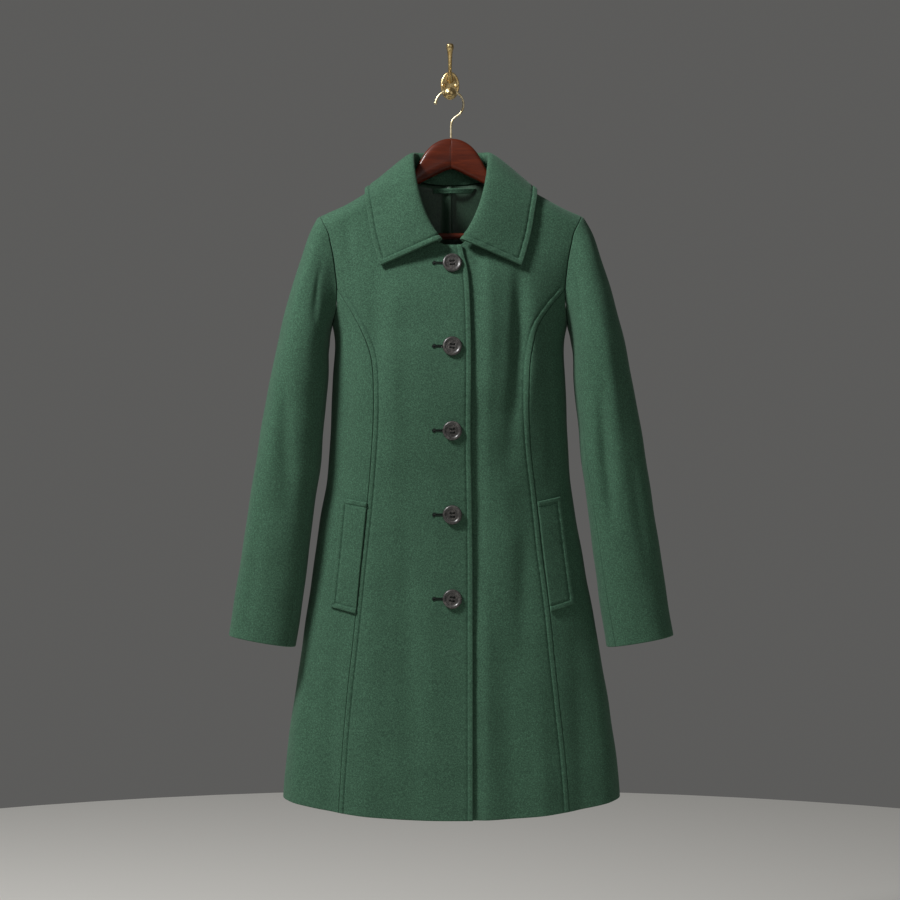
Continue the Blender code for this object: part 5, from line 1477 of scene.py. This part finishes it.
def arm_rings(side):
    """Rings from the joint out along one arm."""
    out = ARM_STATIONS[:, None]
    crease = CREASE_DEPTH * np.exp(-((out / CREASE_WIDTH) ** 2))
    top, bottom, half = np.moveaxis(through(HANGER[:, 0], HANGER[:, 1:], out), -1, 0)
    top, bottom, half = top - crease, bottom + crease, half - crease
    across, forward = oval(full_turn(ARM_ROUND), HANGER_POWER)
    height = (top + bottom) / 2 + (top - bottom) / 2 * across
    y = HANGER_CENTRE_Y - HANGER_SWEEP * out - half * forward
    return np.stack([np.broadcast_to(CENTRE + side * out, y.shape), y, height], -1)


def bar_along(centres, radii, sideways, sides=20):
    """Rings round a route: sideways is one direction square to it, and the route's own run gives the other."""
    forward = unit(np.gradient(centres, axis=0))
    sideways = np.broadcast_to(np.asarray(sideways, float), centres.shape)
    upright = unit(np.cross(forward, sideways))
    angle = full_turn(sides)[None, :, None]
    around = np.cos(angle) * sideways[:, None] + np.sin(angle) * upright[:, None]
    return centres[:, None] + np.asarray(radii)[:, None, None] * around


arms = round_end(np.concatenate([arm_rings(RIGHT)[:0:-1], arm_rings(LEFT)]), DOME_RINGS, ARM_DOME)
make_rings("hanger_arms_turned", arms, mahogany, "mahogany", ["hanger_arms"])
bar_x = np.linspace(CENTRE - BAR_REACH + BAR_CLEAR, CENTRE + BAR_REACH - BAR_CLEAR, BAR_RINGS)
bar_centres = bar_x[:, None] * [1, 0, 0] + [0, HANGER_CENTRE_Y - HANGER_SWEEP * BAR_REACH, BAR_HEIGHT]
bar = bar_along(bar_centres, np.full(len(bar_x), BAR_RADIUS), (0, 1, 0), BAR_ROUND)
make_rings("hanger_bar_turned", bar, mahogany, "mahogany", ["hanger_bar"])

# %% [markdown]
# ## Wire hook
#
# The hook is bent from brass-plated wire with a ball formed at its tip. A wire is a circle carried along a
# route, and the ball is only a change of its radius.

# %% Wire hook
WIRE_RADIUS, WIRE_TIP_RADIUS, WIRE_Y = 1.6, 2.6, -36.0
WIRE_STEM = [(1.5, -83.6), (1.5, -75.0), (1.6, -66.0), (3.4, -57.5), (8.6, -52.0)]  # (x, z), up out of the wood
ARC_CENTRE, ARC_RADIUS, ARC_ANGLES, ARC_POINTS = np.array([-0.6, -33.6]), 20.6, (-42.0, 168.0), 90
BALL_ANGLES, BALL_POINTS = (38, 178), 14  # from where the wire enters it to its far end
BALL_AT = 0.8  # of its radius beyond the wire's end


def wire_route():
    """The hook's route, in the plane of the hanger: up out of the wood and round to its tip."""
    turn = np.radians(np.linspace(*ARC_ANGLES, ARC_POINTS))
    arc = ARC_CENTRE + ARC_RADIUS * np.stack([np.cos(turn), np.sin(turn)], -1)
    stem = along(np.concatenate([WIRE_STEM, arc[:2]]), np.linspace(0, 1, ARC_POINTS // 2))
    flat = np.concatenate([stem[:-2], arc])
    return np.stack([flat[:, 0], np.full(len(flat), WIRE_Y), flat[:, 1]], -1)


route = wire_route()
ball = np.radians(np.linspace(*BALL_ANGLES, BALL_POINTS))
tip_way = unit(route[-1] - route[-2])
ball_route = route[-1] + WIRE_TIP_RADIUS * (BALL_AT - np.cos(ball)[:, None]) * tip_way
radii = np.concatenate([np.full(len(route), WIRE_RADIUS), WIRE_TIP_RADIUS * np.sin(ball)])
hook = bar_along(np.concatenate([route, ball_route]), radii, (0, 1, 0))
make_rings("hanger_hook_bent", hook, wire_brass, "brass_wire", ["hanger_hook"])

# %% [markdown]
# ## Wall hook
#
# The wall hook is cast brass: an oval plate with a soft edge, a long upper prong that flares at its tip, and a
# lower prong that ends in a round knob. Two slotted screws hold it. Each prong grows out of the plate through a
# wide foot.

# %% Plate and prongs
PLATE_HALF_WIDTH, PLATE_HALF_HEIGHT, PLATE_THICKNESS = 14.0, 21.0, 3.0
PLATE_PROFILE = np.array(  # share of its half width and height, and the rise there
    [(1.0, 0.0), (1.0, 1.3), (0.975, 2.1), (0.93, 2.6), (0.85, 2.85), (0.6, 2.95), (0.3, 3.0), (0.02, 3.0)]
)
PRONGS = {  # rows of (y, height, radius)
    "lower": np.array([
        (-1, -8, 6), (-6, -9.5, 5.2), (-15, -13.4, 4.2), (-25, -17.2, 3.6), (-34, -18.4, 3.4), (-41, -18.6, 3.6),
        (-43, -18.9, 6.5), (-46, -19.3, 8.6), (-50, -19.8, 9.3), (-54, -20.2, 8.2), (-57, -20.5, 5),
    ]),
    "upper": np.array([
        (-1, 9, 6), (-5, 11.5, 4.8), (-10, 15, 3.6), (-17, 20, 2.8), (-25, 27, 2.8), (-32, 36, 3.2), (-37, 45, 4.2),
        (-40, 51, 5.6), (-41, 53.5, 5),
    ]),
}
PLATE_RINGS, PLATE_ROUND, PRONG_RINGS, PRONG_ROUND, TIP_RINGS = 40, 96, 90, 40, 8
TIP_SHARE = 0.45  # how far a prong's tip is domed, as a share of its radius

profile = along(PLATE_PROFILE * [PLATE_HALF_WIDTH, 1.0], np.linspace(0, 1, PLATE_RINGS)) / [PLATE_HALF_WIDTH, 1.0]
angle = full_turn(PLATE_ROUND)
outline = np.stack([PLATE_HALF_WIDTH * np.cos(angle), 0 * angle, PLATE_HALF_HEIGHT * np.sin(angle)], -1)
plate = outline[None] * profile[:, :1, None] - profile[:, 1:, None] * [0, 1, 0]
make_rings("wall_hook_plate", plate, brass, "brass", ["wall_hook"])
for name, table in PRONGS.items():
    section = along(table, np.linspace(0, 1, PRONG_RINGS))
    centres = np.append(np.zeros((PRONG_RINGS, 1)), section[:, :2], axis=1)
    rings = round_end(bar_along(centres, section[:, 2], (1, 0, 0), PRONG_ROUND), TIP_RINGS, TIP_SHARE * table[-1, 2])
    make_rings(f"wall_hook_{name}_prong", rings, brass, "brass", ["wall_hook"])

# %% Screws
SCREWS, SCREW_RADIUS, SCREW_HEIGHT = ((-9.6, 0.0), (9.6, 0.0)), 3.0, 1.4
SLOT_HALF, SLOT_DEPTH, SLOT_WALL = 0.4, 0.7, 0.1  # mm
DOME = 1.02  # a little over 1, so that the head's edge has some height
SLOT_TILTS = (95, 165)  # degrees at which the two slots came to rest
SCREW_SHARES = np.concatenate([np.linspace(0.01, 0.9, 26), [0.95, 0.99, 1.0, 1.0]])  # of its radius, rim twice
SCREW_ROUND = 72

share, angle = SCREW_SHARES[:, None], full_turn(SCREW_ROUND)
for number, (x, height) in enumerate(SCREWS, 1):
    across, up = SCREW_RADIUS * share * np.cos(angle), SCREW_RADIUS * share * np.sin(angle)
    tilt = np.radians(SLOT_TILTS[number - 1])
    from_slot = np.abs(across * np.cos(tilt) + up * np.sin(tilt))
    rise = np.broadcast_to(SCREW_HEIGHT * np.sqrt(np.clip(DOME - share**2, 0, 1)), across.shape)
    cut = 1 - smooth_step(from_slot, SLOT_HALF - SLOT_WALL, SLOT_HALF + SLOT_WALL)
    rise = rise - np.minimum(rise, SLOT_DEPTH) * cut
    rise[-1] = 0
    head = np.stack([x + across, -PLATE_THICKNESS - SEAM_GAP - rise, height + up], -1)
    make_rings(f"screw_{number}_slotted", head, brass, "brass", [f"screw_{number}"])

# %% [markdown]
# ## What the cloth was cut to
#
# For each cloth piece, the name of its cut is worked out: its own name without the cloth suffix and without its side.

# %% Sheets
for piece in [*panels, *sleeves, collar_upper, collar_under, *welts, lining, hanging_loop]:
    cut = piece.name.removesuffix("_cloth").removesuffix("_right").removesuffix("_left")
